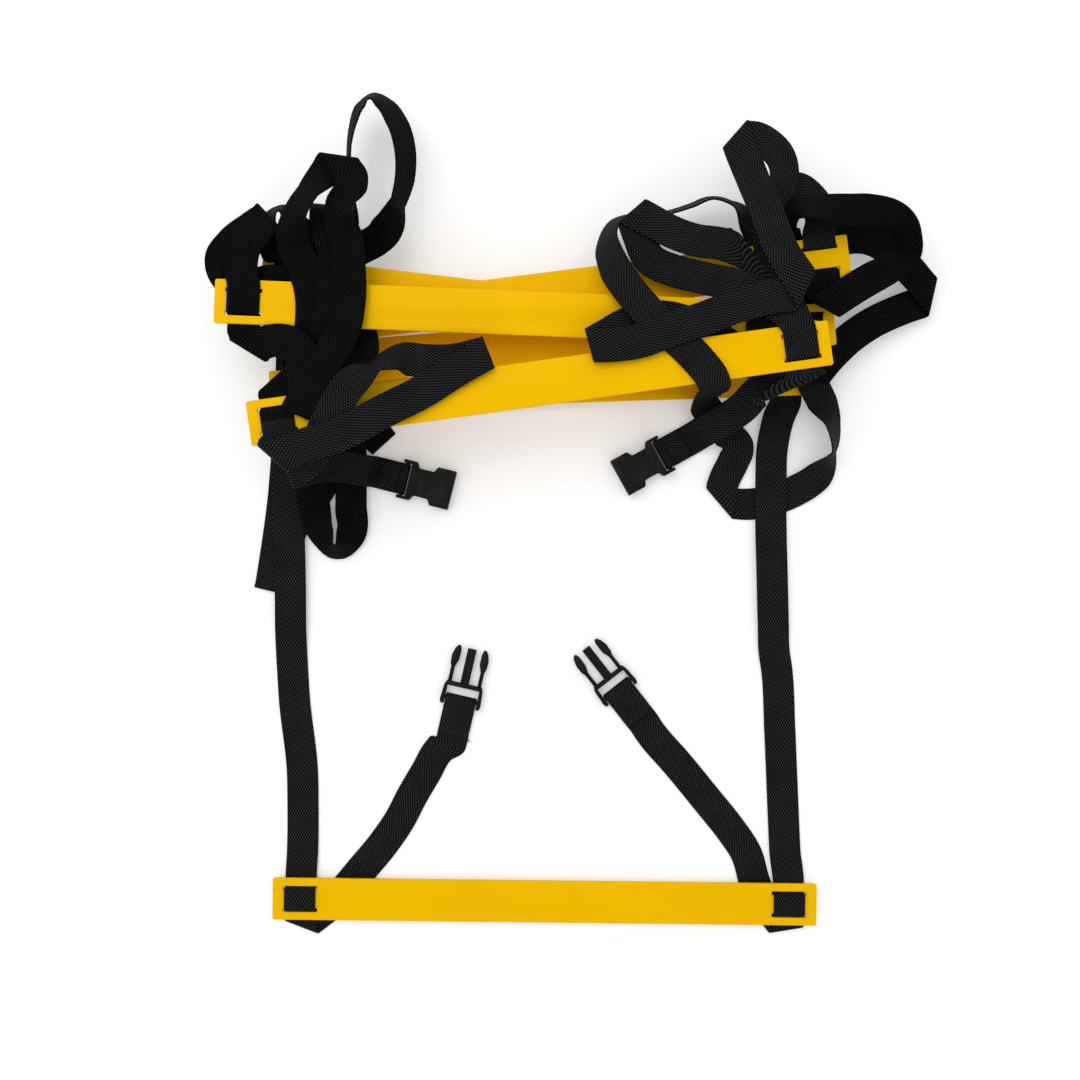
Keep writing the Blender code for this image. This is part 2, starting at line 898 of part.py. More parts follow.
RIGHT_BAY_2_PIXELS = (
    Thread(2, RIGHT, UP_PAGE, ABOVE, BELOW, False),
    Pass(784, 325, 1.8),
    Pass(781, 302, 1.2),
    Pass(775, 278, 4.0),
    Pass(762, 247, 16.0),
    Pass(746, 219, 32.0, 32),
    Pass(733, 204, 40.0, 66),
    Pass(712, 198, 40.0, 70),
    Pass(690, 206, 39.0, 70),
    Pass(665, 213, 37.0, 70),
    Pass(640, 214, 36.0, 70),
    Pass(618, 219, 38.0, 70),
    Pass(607, 238, 48.0, 60),
    Pass(611, 260, 66.0, 35),
    Pass(625, 284, 82.0),
    Pass(643, 306, 90.0),
    Pass(662, 326, 93.6),
    Pass(685, 346, 93.8),
    Pass(702, 364, 94.2),
    Pass(711, 376, 95.2),
    Pass(715, 386.5, 93.8),
    Pass(713, 391, 80.0),
    Pass(706.5, 400, 34.0),
    Pass(705, 406, 14.5),
    Pass(713, 417, 11.8),
    Pass(726, 432, 5.0),
    Pass(738, 450, 3.8),
    Pass(734, 460, 3.8),
    Pass(723, 484, 3.8),
    Fold(720, 503, 3.8, 1.2),
    Pass(760, 503, 1.2),
    Pass(795, 491, 2.4),
    Pass(818, 476, 9.5, 15),
    Pass(834, 452, 18.0, 72),
    Pass(833, 425, 19.0, 50),
    Pass(822, 402, 14.0, 5),
    Thread(3, RIGHT, DOWN_PAGE, ABOVE, BELOW, True),
)
RIGHT_BAY_3_PIXELS = (
    Thread(3, RIGHT, UP_PAGE, ABOVE, BELOW, False),
    Pass(815, 295, 14.0),
    Pass(819, 265, 16.0),
    Pass(835, 243, 20.0),
    Pass(862, 238, 24.0),
    Pass(890, 250, 24.0),
    Pass(912, 272, 20.0),
    Fold(933, 297, 16.0, 12.0),
    Pass(900, 310, 14.0),
    Pass(872, 323, 19.0),
    Pass(850, 338, 23.4),
    Pass(832, 355, 23.8),
    Fold(811, 379, 27.4, 31.2),
    Thread(4, RIGHT, DOWN_PAGE, ABOVE, ABOVE, True),
)
RIGHT_BAY_4_PIXELS = (
    Thread(4, RIGHT, UP_PAGE, ABOVE, BELOW, False),
    Pass(802, 285, 28.0),
    Pass(795, 264, 34.5),
    Pass(789, 247, 38.0),
    Pass(784, 232, 42.5, -6),
    Pass(787, 217, 52.0, -35),
    Pass(801, 208, 63.0, -42),
    Pass(820, 207, 70.0, -30),
    Pass(845, 210, 68.0),
    Pass(872, 211, 66.0, 5),
    Pass(895, 219, 62.0, 25),
    Pass(908, 236, 55.0, 60),
    Pass(908, 254, 50.0, 50),
    Pass(893, 266, 46.0, 20),
    Pass(870, 279, 45.0),
    Pass(850, 291, 48.0),
    Fold(824, 307, 50.0, 45.3),
    Thread(5, RIGHT, DOWN_PAGE, BELOW, ABOVE, True),
)
RIGHT_BAY_5_PIXELS = (
    Thread(5, RIGHT, UP_PAGE, BELOW, ABOVE, False),
    Pass(821, 218, 46.0),
    Pass(811, 198, 45.0),
    Pass(794, 188, 42.0),
    Pass(778, 196, 38.0),
    Pass(770, 222, 36.0),
    Pass(761.5, 245, 34.8),
    Pass(758.5, 264, 35.2),
    Pass(765, 310, 37.8),
    Pass(778, 355, 36.5),
    Fold(792, 386, 38.0, 43.7),
    Thread(6, RIGHT, DOWN_PAGE, ABOVE, BELOW, True),
)
RIGHT_BAY_6_PIXELS = (
    Thread(6, RIGHT, UP_PAGE, ABOVE, ABOVE, False),
    Pass(784, 296, 51.5),
    Pass(777, 275, 53.0),
    Pass(770, 250, 56.0),
    Pass(767, 225, 60.0, 20),
    Pass(773, 200, 64.0, 30),
    Pass(784, 180, 66.0, 20),
    Pass(781, 158, 68.0, 10),
    Pass(763, 141, 68.0),
    Fold(735, 135, 68.0, 72.0),
    Pass(752, 177, 79.0),
    Pass(768, 215, 88.0),
    Pass(782, 250, 98.0),
    Fold(806, 290, 103.5, 99.2),
    Pass(770, 297, 97.5),
    Pass(740, 305, 95.5),
    Pass(705, 318, 96.6),
    Pass(670, 330, 97.6),
    Pass(640, 341, 98.0),
    Pass(612, 345, 98.0),
    Fold(590, 345, 99.0, 95.4),
    Pass(606, 336, 93.5),
    Pass(630, 323, 84.0),
    Pass(660, 317, 78.5),
    Pass(700, 328, 78.5),
    Pass(735, 350, 79.0),
    Fold(765, 369, 78.5, 75.3),
    Thread(7, RIGHT, DOWN_PAGE, ABOVE, ABOVE, True),
)
RIGHT_BAY_7_PIXELS = (
    Thread(7, RIGHT, UP_PAGE, ABOVE, ABOVE, False),
    Fold(758, 258, 75.0, 71.0),
    Pass(722, 244, 68.0),
    Pass(695, 240, 67.0),
    Pass(668, 230, 67.0),
    Pass(652, 221, 68.0),
    Fold(632, 211, 69.0, 65.5),
    Pass(639, 236, 63.0),
    Pass(649, 258, 61.0),
    Pass(672, 270, 61.5),
    Pass(695, 276, 63.0),
    Pass(712, 280, 68.0),
    Pass(728, 283, 77.0),
    Pass(745, 289, 82.0),
    Pass(763, 296, 85.0),
    Pass(779, 306, 92.0),
    Pass(789, 313, 94.2),
    Thread(8, RIGHT, UP_PAGE, ABOVE, ABOVE, True),
)
RIGHT_HEAD_PIXELS = (
    Thread(8, RIGHT, DOWN_PAGE, ABOVE, BELOW, False),
    Fold(788, 390, 84.0, 80.0),
    Pass(760, 391, 56.0),
    Pass(742, 408, 38.0),
    Pass(723, 421, 29.0),
    Pass(706, 430, 20.0),
)

STRAPS = {
    "male_tail_left": (LEFT_TAIL_PIXELS, "male_left"),
    "male_tail_right": (RIGHT_TAIL_PIXELS, "male_right"),
    "bay_1_left": (LEFT_BAY_1_PIXELS, None),
    "bay_1_right": (RIGHT_BAY_1_PIXELS, None),
    "bay_1_root_left": (LEFT_ROOT_PIXELS, None),
    "bay_1_root_right": (RIGHT_ROOT_PIXELS, None),
    "bay_2_left": (LEFT_BAY_2_PIXELS, None),
    "bay_3_left": (LEFT_BAY_3_PIXELS, None),
    "bay_4_left": (LEFT_BAY_4_PIXELS, None),
    "bay_5_left": (LEFT_BAY_5_PIXELS, None),
    "bay_6_left": (LEFT_BAY_6_PIXELS, None),
    "bay_7_left": (LEFT_BAY_7_PIXELS, None),
    "bay_2_right": (RIGHT_BAY_2_PIXELS, None),
    "bay_3_right": (RIGHT_BAY_3_PIXELS, None),
    "bay_4_right": (RIGHT_BAY_4_PIXELS, None),
    "bay_5_right": (RIGHT_BAY_5_PIXELS, None),
    "bay_6_right": (RIGHT_BAY_6_PIXELS, None),
    "bay_7_right": (RIGHT_BAY_7_PIXELS, None),
    "female_tail_left": (LEFT_HEAD_PIXELS, "female_left"),
    "female_tail_right": (RIGHT_HEAD_PIXELS, "female_right"),
}


def make_strap(name):
    """A named strap from the table of routes."""
    route, buckle = STRAPS[name]
    items = list(route)
    if buckle:
        items.extend(bar_loop(buckle))
    return strap(name, items)


def buckle_seat(buckle):
    """Empty on a buckle's webbing bar that carries the buckle."""
    point, forward = buckle_frame(buckle)
    seat = bpy.data.objects.new(f"{buckle.name}_seat", None)
    collection("agility_ladder").objects.link(seat)
    seat.location = point
    seat.rotation_euler.z = math.atan2(forward.y, forward.x)
    return seat


def bar_data(name):
    """Mesh of a webbing bar across a buckle."""
    mesh = bmesh.new()
    bmesh.ops.create_cone(
        mesh,
        cap_ends=True,
        segments=16,
        radius1=BAR_RADIUS,
        radius2=BAR_RADIUS,
        depth=BUCKLE_WIDTH - RAIL_WIDTH,
    )
    turn = Matrix.Rotation(math.pi / 2, 4, "X")
    bmesh.ops.transform(mesh, matrix=turn, verts=mesh.verts)
    data = bpy.data.meshes.new(name)
    mesh.to_mesh(data)
    mesh.free()
    return data


def open_slot(item, rear, slot_depth, thickness):
    """Cut the webbing slot of a buckle and join its bar across."""
    depth = rear + slot_depth + SLOT
    size = (depth, BUCKLE_WIDTH - 2 * RAIL_WIDTH, 2 * thickness)
    label = f"{item.name}_slot"
    centre = (slot_depth - depth / 2, 0, 0)
    cutter(label, box_mesh(label, size, centre), item)
    label = f"{item.name}_bar"
    cutter(label, bar_data(label), item, "UNION")


def make_male(key):
    """Male buckle half: a frame with a webbing bar and a guiding spine."""
    buckle = BUCKLES[key]
    seat = buckle_seat(buckle)
    front = MALE_SLOT_DEPTH + MALE_CROSS_DEPTH
    size = (front + MALE_REAR, BUCKLE_WIDTH, MALE_THICKNESS)
    body = new_object(
        buckle.name,
        box_mesh(buckle.name, size, ((front - MALE_REAR) / 2, 0, 0)),
        buckle_material(),
    )
    body.parent = seat
    open_slot(body, MALE_REAR, MALE_SLOT_DEPTH, MALE_THICKNESS)
    reach = front + SPINE_LENGTH
    root = front - MALE_CROSS_DEPTH / 2
    for label, size, height in (
        ("spine", (reach - root, SPINE_WIDTH, SPINE_THICKNESS), 0),
        (
            "rib_left",
            (reach - root - 2 * SPINE_RIB_WIDTH, SPINE_RIB_WIDTH, SPINE_THICKNESS),
            SPINE_RIB_HEIGHT,
        ),
        (
            "rib_right",
            (reach - root - 2 * SPINE_RIB_WIDTH, SPINE_RIB_WIDTH, SPINE_THICKNESS),
            SPINE_RIB_HEIGHT,
        ),
    ):
        across = 0
        if label != "spine":
            way = 1 if label == "rib_left" else -1
            across = way * (SPINE_WIDTH / 2 - SPINE_RIB_WIDTH)
        name = f"{buckle.name}_{label}"
        centre = (root + size[0] / 2, across, height)
        cutter(name, box_mesh(name, size, centre), body, "UNION")
    soften(body, SOFT_EDGE)
    for way, label in ((1, "a"), (-1, "b")):
        make_prong(f"{buckle.name}_prong_{label}", seat, front + GAP, way)
    return body


def make_prong(name, seat, start, way):
    """One sprung prong of a male buckle, hinged at its foot."""
    pivot = PRONG_OUTER - PRONG_ARM
    barb = PRONG_LENGTH / 2
    outer = PRONG_OUTER
    points = [
        (0, pivot - PRONG_FOOT / 2),
        (0, pivot + PRONG_ARM - PRONG_FOOT / 2),
        (barb, pivot + PRONG_ARM - PRONG_FOOT / 2),
        (barb, outer),
        (PRONG_LENGTH - PRONG_ARM, outer - PRONG_FOOT / 2),
        (PRONG_LENGTH, outer - PRONG_ARM),
        (PRONG_LENGTH, outer - PRONG_BARB + PRONG_FOOT / 2),
        (PRONG_LENGTH - PRONG_ARM, outer - PRONG_BARB),
        (barb + PRONG_ARM, outer - PRONG_BARB),
        (barb - PRONG_ARM, pivot - PRONG_FOOT / 2),
    ]
    shifted = [(x, way * (y - pivot)) for x, y in points]
    data = outline_mesh(name, shifted, -PRONG_THICKNESS / 2, PRONG_THICKNESS / 2)
    prong = new_object(name, data, buckle_material())
    prong.parent = seat
    prong.location = (start, way * pivot, 0)
    soften(prong, SOFT_EDGE)
    return prong


def make_female(key):
    """Female buckle half: a shell open at the mouth and at its two sides."""
    buckle = BUCKLES[key]
    seat = buckle_seat(buckle)
    front = FEMALE_LENGTH - FEMALE_REAR
    wide = BUCKLE_WIDTH / 2
    waist = WAIST_WIDTH / 2
    neck = FLANGE_DEPTH + RAIL_WIDTH
    collar = front - MOUTH_DEPTH
    half = [
        (-FEMALE_REAR, wide),
        (FLANGE_DEPTH, wide),
        (neck, waist + RAIL_WIDTH / 2),
        (neck + RAIL_WIDTH, waist),
        (collar - RAIL_WIDTH, waist),
        (collar, waist + RAIL_WIDTH),
        (collar + RAIL_WIDTH / 2, wide),
        (front, wide),
    ]
    points = half + [(x, -y) for x, y in reversed(half)]
    rise = FEMALE_THICKNESS / 2
    data = outline_mesh(buckle.name, points, -rise, rise)
    body = new_object(buckle.name, data, buckle_material())
    body.parent = seat
    open_slot(body, FEMALE_REAR, FEMALE_SLOT_DEPTH, FEMALE_THICKNESS)
    back = FEMALE_SLOT_DEPTH + FEMALE_CROSS_DEPTH
    size = (front - back + SLOT, CAVITY_WIDTH, FEMALE_THICKNESS - 2 * SHELL_WALL)
    label = f"{buckle.name}_cavity"
    centre = (back + size[0] / 2, 0, 0)
    cutter(label, box_mesh(label, size, centre), body)
    soften(body, SOFT_EDGE)
    return body


def main():
    """Build the whole ladder."""
    clear_scene()
    for index in range(1, len(RUNGS) + 1):
        make_rung(index)
    for name in STRAPS:
        make_strap(name)
    for key, buckle in BUCKLES.items():
        if buckle.female:
            make_female(key)
        else:
            make_male(key)


if __name__ == "__main__":
    main()
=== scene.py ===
"""Looks of a collapsed agility ladder.

Eight slotted yellow rungs lie piled on two sides of black woven webbing, which
falls into loops between them.  Each side ends in a male and a female half of a
side-release buckle.  Everything is in metres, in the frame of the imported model.
"""

import logging
import math
from dataclasses import dataclass, field
from enum import Enum
from functools import cache

import bmesh
import bpy
import numpy as np
from mathutils import Matrix, Vector


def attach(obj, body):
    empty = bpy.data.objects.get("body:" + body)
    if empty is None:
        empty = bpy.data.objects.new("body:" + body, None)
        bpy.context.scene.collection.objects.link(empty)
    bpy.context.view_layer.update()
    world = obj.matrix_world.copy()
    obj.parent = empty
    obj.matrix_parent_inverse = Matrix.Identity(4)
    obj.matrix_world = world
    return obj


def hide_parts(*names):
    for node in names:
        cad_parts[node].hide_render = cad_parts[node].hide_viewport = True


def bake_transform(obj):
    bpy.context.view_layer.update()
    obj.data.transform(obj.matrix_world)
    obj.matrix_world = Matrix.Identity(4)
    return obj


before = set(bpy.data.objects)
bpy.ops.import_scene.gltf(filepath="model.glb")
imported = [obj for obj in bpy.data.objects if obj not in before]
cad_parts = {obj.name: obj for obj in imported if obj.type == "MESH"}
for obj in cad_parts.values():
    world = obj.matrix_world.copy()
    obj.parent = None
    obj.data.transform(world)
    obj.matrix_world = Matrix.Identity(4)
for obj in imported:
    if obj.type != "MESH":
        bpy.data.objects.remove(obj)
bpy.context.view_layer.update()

LOG = logging.getLogger("agility_ladder")

MM = 0.001

Point = tuple[float, float]
Triple = tuple[float, float, float]
Colour = tuple[float, float, float, float]
Socket = bpy.types.NodeSocket


class Side(Enum):
    """The two long sides of the ladder."""

    LEFT = -1
    RIGHT = 1


class Face(Enum):
    """Which face of a rung the webbing lies on."""

    ABOVE = 1
    BELOW = -1


class Way(Enum):
    """The two directions across a rung, seen in the plan."""

    UP = 1
    DOWN = -1


LEFT, RIGHT = Side.LEFT, Side.RIGHT
ABOVE, BELOW = Face.ABOVE, Face.BELOW
UP, DOWN = Way.UP, Way.DOWN


@dataclass(frozen=True)
class Plan:
    """The plan view that the routes are read off.

    Pixels run right and down, and heights are in pixels of the same size.
    """

    pixel: float = 0.8 * MM
    view_height: float = 0.9
    view_centre: Point = (540, 540)
    origin: Point = (578.3, 519.3)
    picture: float = 1080

    def place(self, x: float, y: float, height: float) -> Vector:
        """World position of a point of the plan.

        Args:
            x: Pixels to the right.
            y: Pixels down.
            height: Height above the floor in pixels.

        Returns:
            The point in metres.
        """
        shrink = 1 - height * self.pixel / self.view_height
        across = self.view_centre[0] + (x - self.view_centre[0]) * shrink - self.origin[0]
        down = self.view_centre[1] + (y - self.view_centre[1]) * shrink - self.origin[1]
        return Vector((across * self.pixel, -down * self.pixel, height * self.pixel))


@dataclass(frozen=True)
class RungSize:
    """Sizes of one rung and of the windows that the webbing passes."""

    length: float = 432 * MM
    width: float = 33 * MM
    thickness: float = 3 * MM
    corner: float = 1.6 * MM
    edge: float = 0.5 * MM
    end_bar: float = 8 * MM
    centre_bar: float = 14.4 * MM
    slot: float = 3.1 * MM
    side_clearance: float = 1.25 * MM


@dataclass(frozen=True)
class WebSize:
    """Sizes of the webbing and of its weave."""

    width: float = 25 * MM
    thickness: float = 1.6 * MM
    gap: float = 0.3 * MM
    row: float = 0.95 * MM
    columns: int = 22
    relief: float = 0.16 * MM
    edge_round: float = 0.55 * MM


@dataclass(frozen=True)
class RungPlace:
    """A rung by the pixels of its two ends in the plan, and its height."""

    name: str
    left: Point
    right: Point
    height: float


@dataclass(frozen=True)
class Pass:
    """A free point of a strap's route; lift turns the strap on its edge."""

    x: float
    y: float
    height: float
    lift: float = 0.0


@dataclass(frozen=True)
class Fold:
    """A flat fold of a strap about a line through a point of its route."""

    x: float
    y: float
    height: float
    next_height: float


@dataclass(frozen=True)
class Thread:
    """Half of a strap's way through a rung's window, from the centre bar out."""

    rung: int
    end: Side
    way: Way
    centre: Face
    edge: Face
    inward: bool


@dataclass
class Station:
    """One place of a strap: centre, half width, direction, lift and which side is up."""

    centre: Vector
    half: Vector | None = None
    heading: Vector | None = None
    lift: float = 0.0
    side: float = 1.0


Item = Pass | Fold | Thread | Station
Route = tuple[Fold | Thread | tuple[float, ...], ...]

PLAN = Plan()
RUNG = RungSize()
WEB = WebSize()

RUNGS: tuple[RungPlace, ...] = (
    RungPlace("rung_1", (276, 898.3), (813, 904.4), 6.75),
    RungPlace("rung_2", (269, 392), (814, 374), 8.0),
    RungPlace("rung_3", (283, 384), (838, 341), 18.0),
    RungPlace("rung_4", (285, 366), (832, 324), 28.0),
    RungPlace("rung_5", (292, 326), (849, 256), 42.0),
    RungPlace("rung_6", (262, 276), (820, 343), 47.0),
    RungPlace("rung_7", (215, 301), (791, 324), 72.0),
    RungPlace("rung_8", (248.5, 424), (830.5, 342.5), 90.0),
)


@dataclass(frozen=True)
class BucklePlace:
    """A buckle half by the pixel of its webbing bar, its heading and its lap."""

    node: str
    body: str
    x: float
    y: float
    heading: float
    bar_height: float
    lap: float

    @property
    def lap_start(self) -> float:
        """How far behind the bar the lap begins to lie flat."""
        return self.lap / 3


@dataclass(frozen=True)
class BuckleSize:
    """Sizes shared by both halves of the buckle."""

    width: float = 31.2 * MM
    rail: float = 2.6 * MM
    bar: float = 1.5 * MM
    edge: float = 0.5 * MM
    overrun: float = 3.1 * MM
    female_thickness: float = 9.8 * MM


BUCKLE = BuckleSize()
BAR_DROP = BUCKLE.bar + WEB.gap + WEB.thickness / 2
MALE_BAR_HEIGHT = BAR_DROP + WEB.thickness / 2
FEMALE_BAR_HEIGHT = BUCKLE.female_thickness / 2 + WEB.gap
LAP_HEIGHT = WEB.gap + WEB.thickness - BAR_DROP + WEB.gap / 2
LONG_LAP = 30 * MM
SHORT_LAP = 20 * MM

MALE_LEFT = BucklePlace(
    "male_buckle_left", "male_left", 460.9, 699.4, 77, MALE_BAR_HEIGHT, LONG_LAP
)
MALE_RIGHT = BucklePlace(
    "male_buckle_right", "male_right", 617.5, 689, 128, MALE_BAR_HEIGHT, LONG_LAP
)
FEMALE_LEFT = BucklePlace(
    "female_buckle_left", "female_left", 404, 479, -14, FEMALE_BAR_HEIGHT, SHORT_LAP
)
FEMALE_RIGHT = BucklePlace(
    "female_buckle_right", "female_right", 663, 454.5, 209, FEMALE_BAR_HEIGHT, SHORT_LAP
)

LEFT_WEB_1 = (
    Thread(2, LEFT, DOWN, ABOVE, BELOW, False),
    (291, 440, 5.2), (289, 480, 6.5), (289, 530, 6.5), (290, 570, 6.5), (290.4, 600, 6.5),
    (290.6, 625, 5.8), (291.5, 650, 2.8), (292.5, 668, 1.5), (294.5, 700, 1.3),
    (302.3, 770, 1.3), (303, 808, 1.4), (303, 832, 1.5), (302.5, 852, 2.8),
    Thread(1, LEFT, UP, ABOVE, BELOW, True),
    Thread(1, LEFT, DOWN, ABOVE, BELOW, False),
    Fold(302, 927, 3.6, 1.2),
    (336, 899, 1.1), (363, 868, 1.1), (383, 844, 1.1), (399.5, 820, 1.1), (412, 796, 1.1),
    (426, 772, 1.1), (439, 750, 1.1),
)
RIGHT_WEB_1 = (
    Thread(2, RIGHT, DOWN, ABOVE, BELOW, False),
    (778, 420, 5), (772, 450, 5), (771, 480, 4.6), (771, 530, 6), (772, 570, 6.5),
    (772.7, 600, 6.5), (773.3, 625, 5.8), (774, 650, 2.8), (776.8, 670, 1.7), (779.8, 730, 1.4),
    (783, 808, 1.4), (784, 832, 1.5), (785, 852, 2.8),
    Thread(1, RIGHT, UP, ABOVE, BELOW, True),
    Thread(1, RIGHT, DOWN, ABOVE, BELOW, False),
    Fold(786, 930, 3.6, 1.2),
    (757, 888, 1.2), (745, 851, 1.2), (731, 830, 1.2), (707, 800, 1.2), (677.5, 764, 1.2),
    (650, 732, 1.2),
)
LEFT_WEB_2 = (
    Thread(2, LEFT, UP, ABOVE, BELOW, False),
    (294, 345, 4.7),
    Fold(293, 318, 4.2, 1.2),
    (292, 345, 1.2), (290, 420, 1.2), (286, 465, 1.2), (283, 500, 1.2), (277, 545, 1.2),
    Fold(270, 590, 1.2, 3.9),
    (281, 555, 3.9), (300, 515, 3.9), (321, 487, 3.7), (331, 458, 6), (325, 432, 12.5),
    Thread(3, LEFT, DOWN, ABOVE, BELOW, True),
)
LEFT_WEB_3 = (
    Thread(3, LEFT, UP, ABOVE, BELOW, False),
    Fold(317, 322, 14.7, 12.1),
    (346, 350, 12.1), (357, 390, 12.1), (367, 422, 12.1),
    Fold(384, 444, 9, 12.6),
    (362, 424, 16), (338, 405, 23.5),
    Thread(4, LEFT, DOWN, ABOVE, BELOW, True),
)
LEFT_WEB_4 = (
    Thread(4, LEFT, UP, ABOVE, BELOW, False),
    (313, 305, 25), (322, 265, 26),
    Fold(333, 214, 30, 79),
    (334, 250, 79), (331, 283, 78.8), (328, 325, 78.8), (325, 342, 77.5), (318, 360, 72),
    (307, 395, 61.5), (305, 430, 40), (311, 470, 20), (314, 505, 15, -10), (323, 536, 14.5, 30),
    (336, 552, 17, 64), (350, 536, 13, 30), (351, 505, 9.5), (351, 480, 8.6), (351, 462, 10),
    (350, 442, 21), (342, 408, 34), (333, 375, 37),
    Thread(5, LEFT, DOWN, ABOVE, BELOW, True),
)
LEFT_WEB_5 = (
    Thread(5, LEFT, UP, ABOVE, BELOW, False),
    (322, 283, 38.6), (338, 262, 38.6), (360, 249, 41), (379, 238, 46), (391, 222, 52, 40),
    (398, 203, 54, 74), (405, 176, 54, 62), (405, 150, 54, 54), (397, 122, 50, 48),
    (385, 104, 48, 52), (371, 96, 46, 60), (360, 106, 46, 58), (353, 125, 46, 66),
    (349, 150, 46, 74), (349, 178, 48, 74), (353, 205, 51, 76), (350, 230, 53, 50),
    (334, 246, 54, 15), (310, 243, 54), (296, 224, 56, 40), (282, 208, 57, 64),
    (267, 223, 56, 40), (275, 247, 52),
    Thread(6, LEFT, UP, ABOVE, ABOVE, True),
)
LEFT_WEB_6 = (
    Thread(6, LEFT, DOWN, ABOVE, ABOVE, False),
    (296, 345, 50.3),
    Fold(302, 395, 50.3, 57),
    (307, 360, 64), (309, 340, 72.5), (311, 327, 75.4), (310, 287, 75.4), (303, 265, 75.2),
    (296, 249, 76), (293, 236, 81.5), (295, 213, 88, -32), (308, 191, 88, -35),
    (323, 175, 85, -10),
    Fold(339, 157, 84, 90),
    (351, 184, 92), (338, 208, 94, 30), (346, 238, 86), (349, 268, 81.8), (349, 300, 81.6),
    (344, 328, 84), (328, 357, 93), (311, 384, 99),
    Fold(296, 414, 99, 95.4),
    (306, 388, 94.5), (303, 368, 93), (300, 352, 87), (289, 342, 79), (270, 341, 75.6),
    Fold(247, 350, 72.6, 68.7),
    Thread(7, LEFT, DOWN, ABOVE, BELOW, True),
)
LEFT_WEB_7 = (
    Thread(7, LEFT, UP, ABOVE, ABOVE, False),
    (241, 266, 76), (245, 246, 77.8), (256, 230, 77.8),
    Fold(268, 215, 77.8, 73.8),
    (250, 229, 72), (231, 244, 69), (221, 261, 66), (228, 278, 64), (246, 285, 63),
    (272, 281, 62.5), (302, 286, 62.5), (335, 309, 62.5), (361, 336, 66), (357, 362, 77),
    (333, 373, 84), (305, 377, 84.5),
    Fold(277, 376, 84, 86.7),
    Thread(8, LEFT, UP, ABOVE, BELOW, True),
)
LEFT_WEB_8 = (
    Thread(8, LEFT, DOWN, ABOVE, ABOVE, False),
    Fold(273, 458, 93.4, 103),
    (308, 444, 107.5), (340, 434, 108.6), (380, 413, 103), (420, 393, 97.8), (460, 368, 97.6),
    Fold(488, 352, 97.6, 93.8),
    (450, 361, 93.8), (425, 361, 93.6), (407, 359, 94.6), (391, 360, 100, 40),
    (375, 367, 108, 62), (351, 383, 104.5, 4), (337, 403, 103), (328.5, 420, 102.2),
    (319, 440, 98), (313, 454, 92), (304, 464, 83),
    Fold(288, 474, 74, 69),
    (316, 467, 52), (345, 467, 30), (368, 471, 14),
)
RIGHT_WEB_2 = (
    Thread(2, RIGHT, UP, ABOVE, BELOW, False),
    (784, 325, 1.8), (781, 302, 1.2), (775, 278, 4), (762, 247, 16), (746, 219, 32, 32),
    (733, 204, 40, 66), (712, 198, 40, 70), (690, 206, 39, 70), (665, 213, 37, 70),
    (640, 214, 36, 70), (618, 219, 38, 70), (607, 238, 48, 60), (611, 260, 66, 35),
    (625, 284, 82), (643, 306, 90), (662, 326, 93.6), (685, 346, 93.8), (702, 364, 94.2),
    (711, 376, 95.2), (715, 386.5, 93.8), (713, 391, 80), (706.5, 400, 34), (705, 406, 14.5),
    (713, 417, 11.8), (726, 432, 5), (738, 450, 3.8), (734, 460, 3.8), (723, 484, 3.8),
    Fold(720, 503, 3.8, 1.2),
    (760, 503, 1.2), (795, 491, 2.4), (818, 476, 9.5, 15), (834, 452, 18, 72),
    (833, 425, 19, 50), (822, 402, 14, 5),
    Thread(3, RIGHT, DOWN, ABOVE, BELOW, True),
)
RIGHT_WEB_3 = (
    Thread(3, RIGHT, UP, ABOVE, BELOW, False),
    (815, 295, 14), (819, 265, 16), (835, 243, 20), (862, 238, 24), (890, 250, 24),
    (912, 272, 20),
    Fold(933, 297, 16, 12),
    (900, 310, 14), (872, 323, 19), (850, 338, 23.4), (832, 355, 23.8),
    Fold(811, 379, 27.4, 31.2),
    Thread(4, RIGHT, DOWN, ABOVE, ABOVE, True),
)
RIGHT_WEB_4 = (
    Thread(4, RIGHT, UP, ABOVE, BELOW, False),
    (802, 285, 28), (795, 264, 34.5), (789, 247, 38), (784, 232, 42.5, -6), (787, 217, 52, -35),
    (801, 208, 63, -42), (820, 207, 70, -30), (845, 210, 68), (872, 211, 66, 5),
    (895, 219, 62, 25), (908, 236, 55, 60), (908, 254, 50, 50), (893, 266, 46, 20),
    (870, 279, 45), (850, 291, 48),
    Fold(824, 307, 50, 45.3),
    Thread(5, RIGHT, DOWN, BELOW, ABOVE, True),
)
RIGHT_WEB_5 = (
    Thread(5, RIGHT, UP, BELOW, ABOVE, False),
    (821, 218, 46), (811, 198, 45), (794, 188, 42), (778, 196, 38), (770, 222, 36),
    (761.5, 245, 34.8), (758.5, 264, 35.2), (765, 310, 37.8), (778, 355, 36.5),
    Fold(792, 386, 38, 43.7),
    Thread(6, RIGHT, DOWN, ABOVE, BELOW, True),
)
RIGHT_WEB_6 = (
    Thread(6, RIGHT, UP, ABOVE, ABOVE, False),
    (784, 296, 51.5), (777, 275, 53), (770, 250, 56), (767, 225, 60, 20), (773, 200, 64, 30),
    (784, 180, 66, 20), (781, 158, 68, 10), (763, 141, 68),
    Fold(735, 135, 68, 72),
    (752, 177, 79), (768, 215, 88), (782, 250, 98),
    Fold(806, 290, 103.5, 99.2),
    (770, 297, 97.5), (740, 305, 95.5), (705, 318, 96.6), (670, 330, 97.6), (640, 341, 98),
    (612, 345, 98),
    Fold(590, 345, 99, 95.4),
    (606, 336, 93.5), (630, 323, 84), (660, 317, 78.5), (700, 328, 78.5), (735, 350, 79),
    Fold(765, 369, 78.5, 75.3),
    Thread(7, RIGHT, DOWN, ABOVE, ABOVE, True),
)
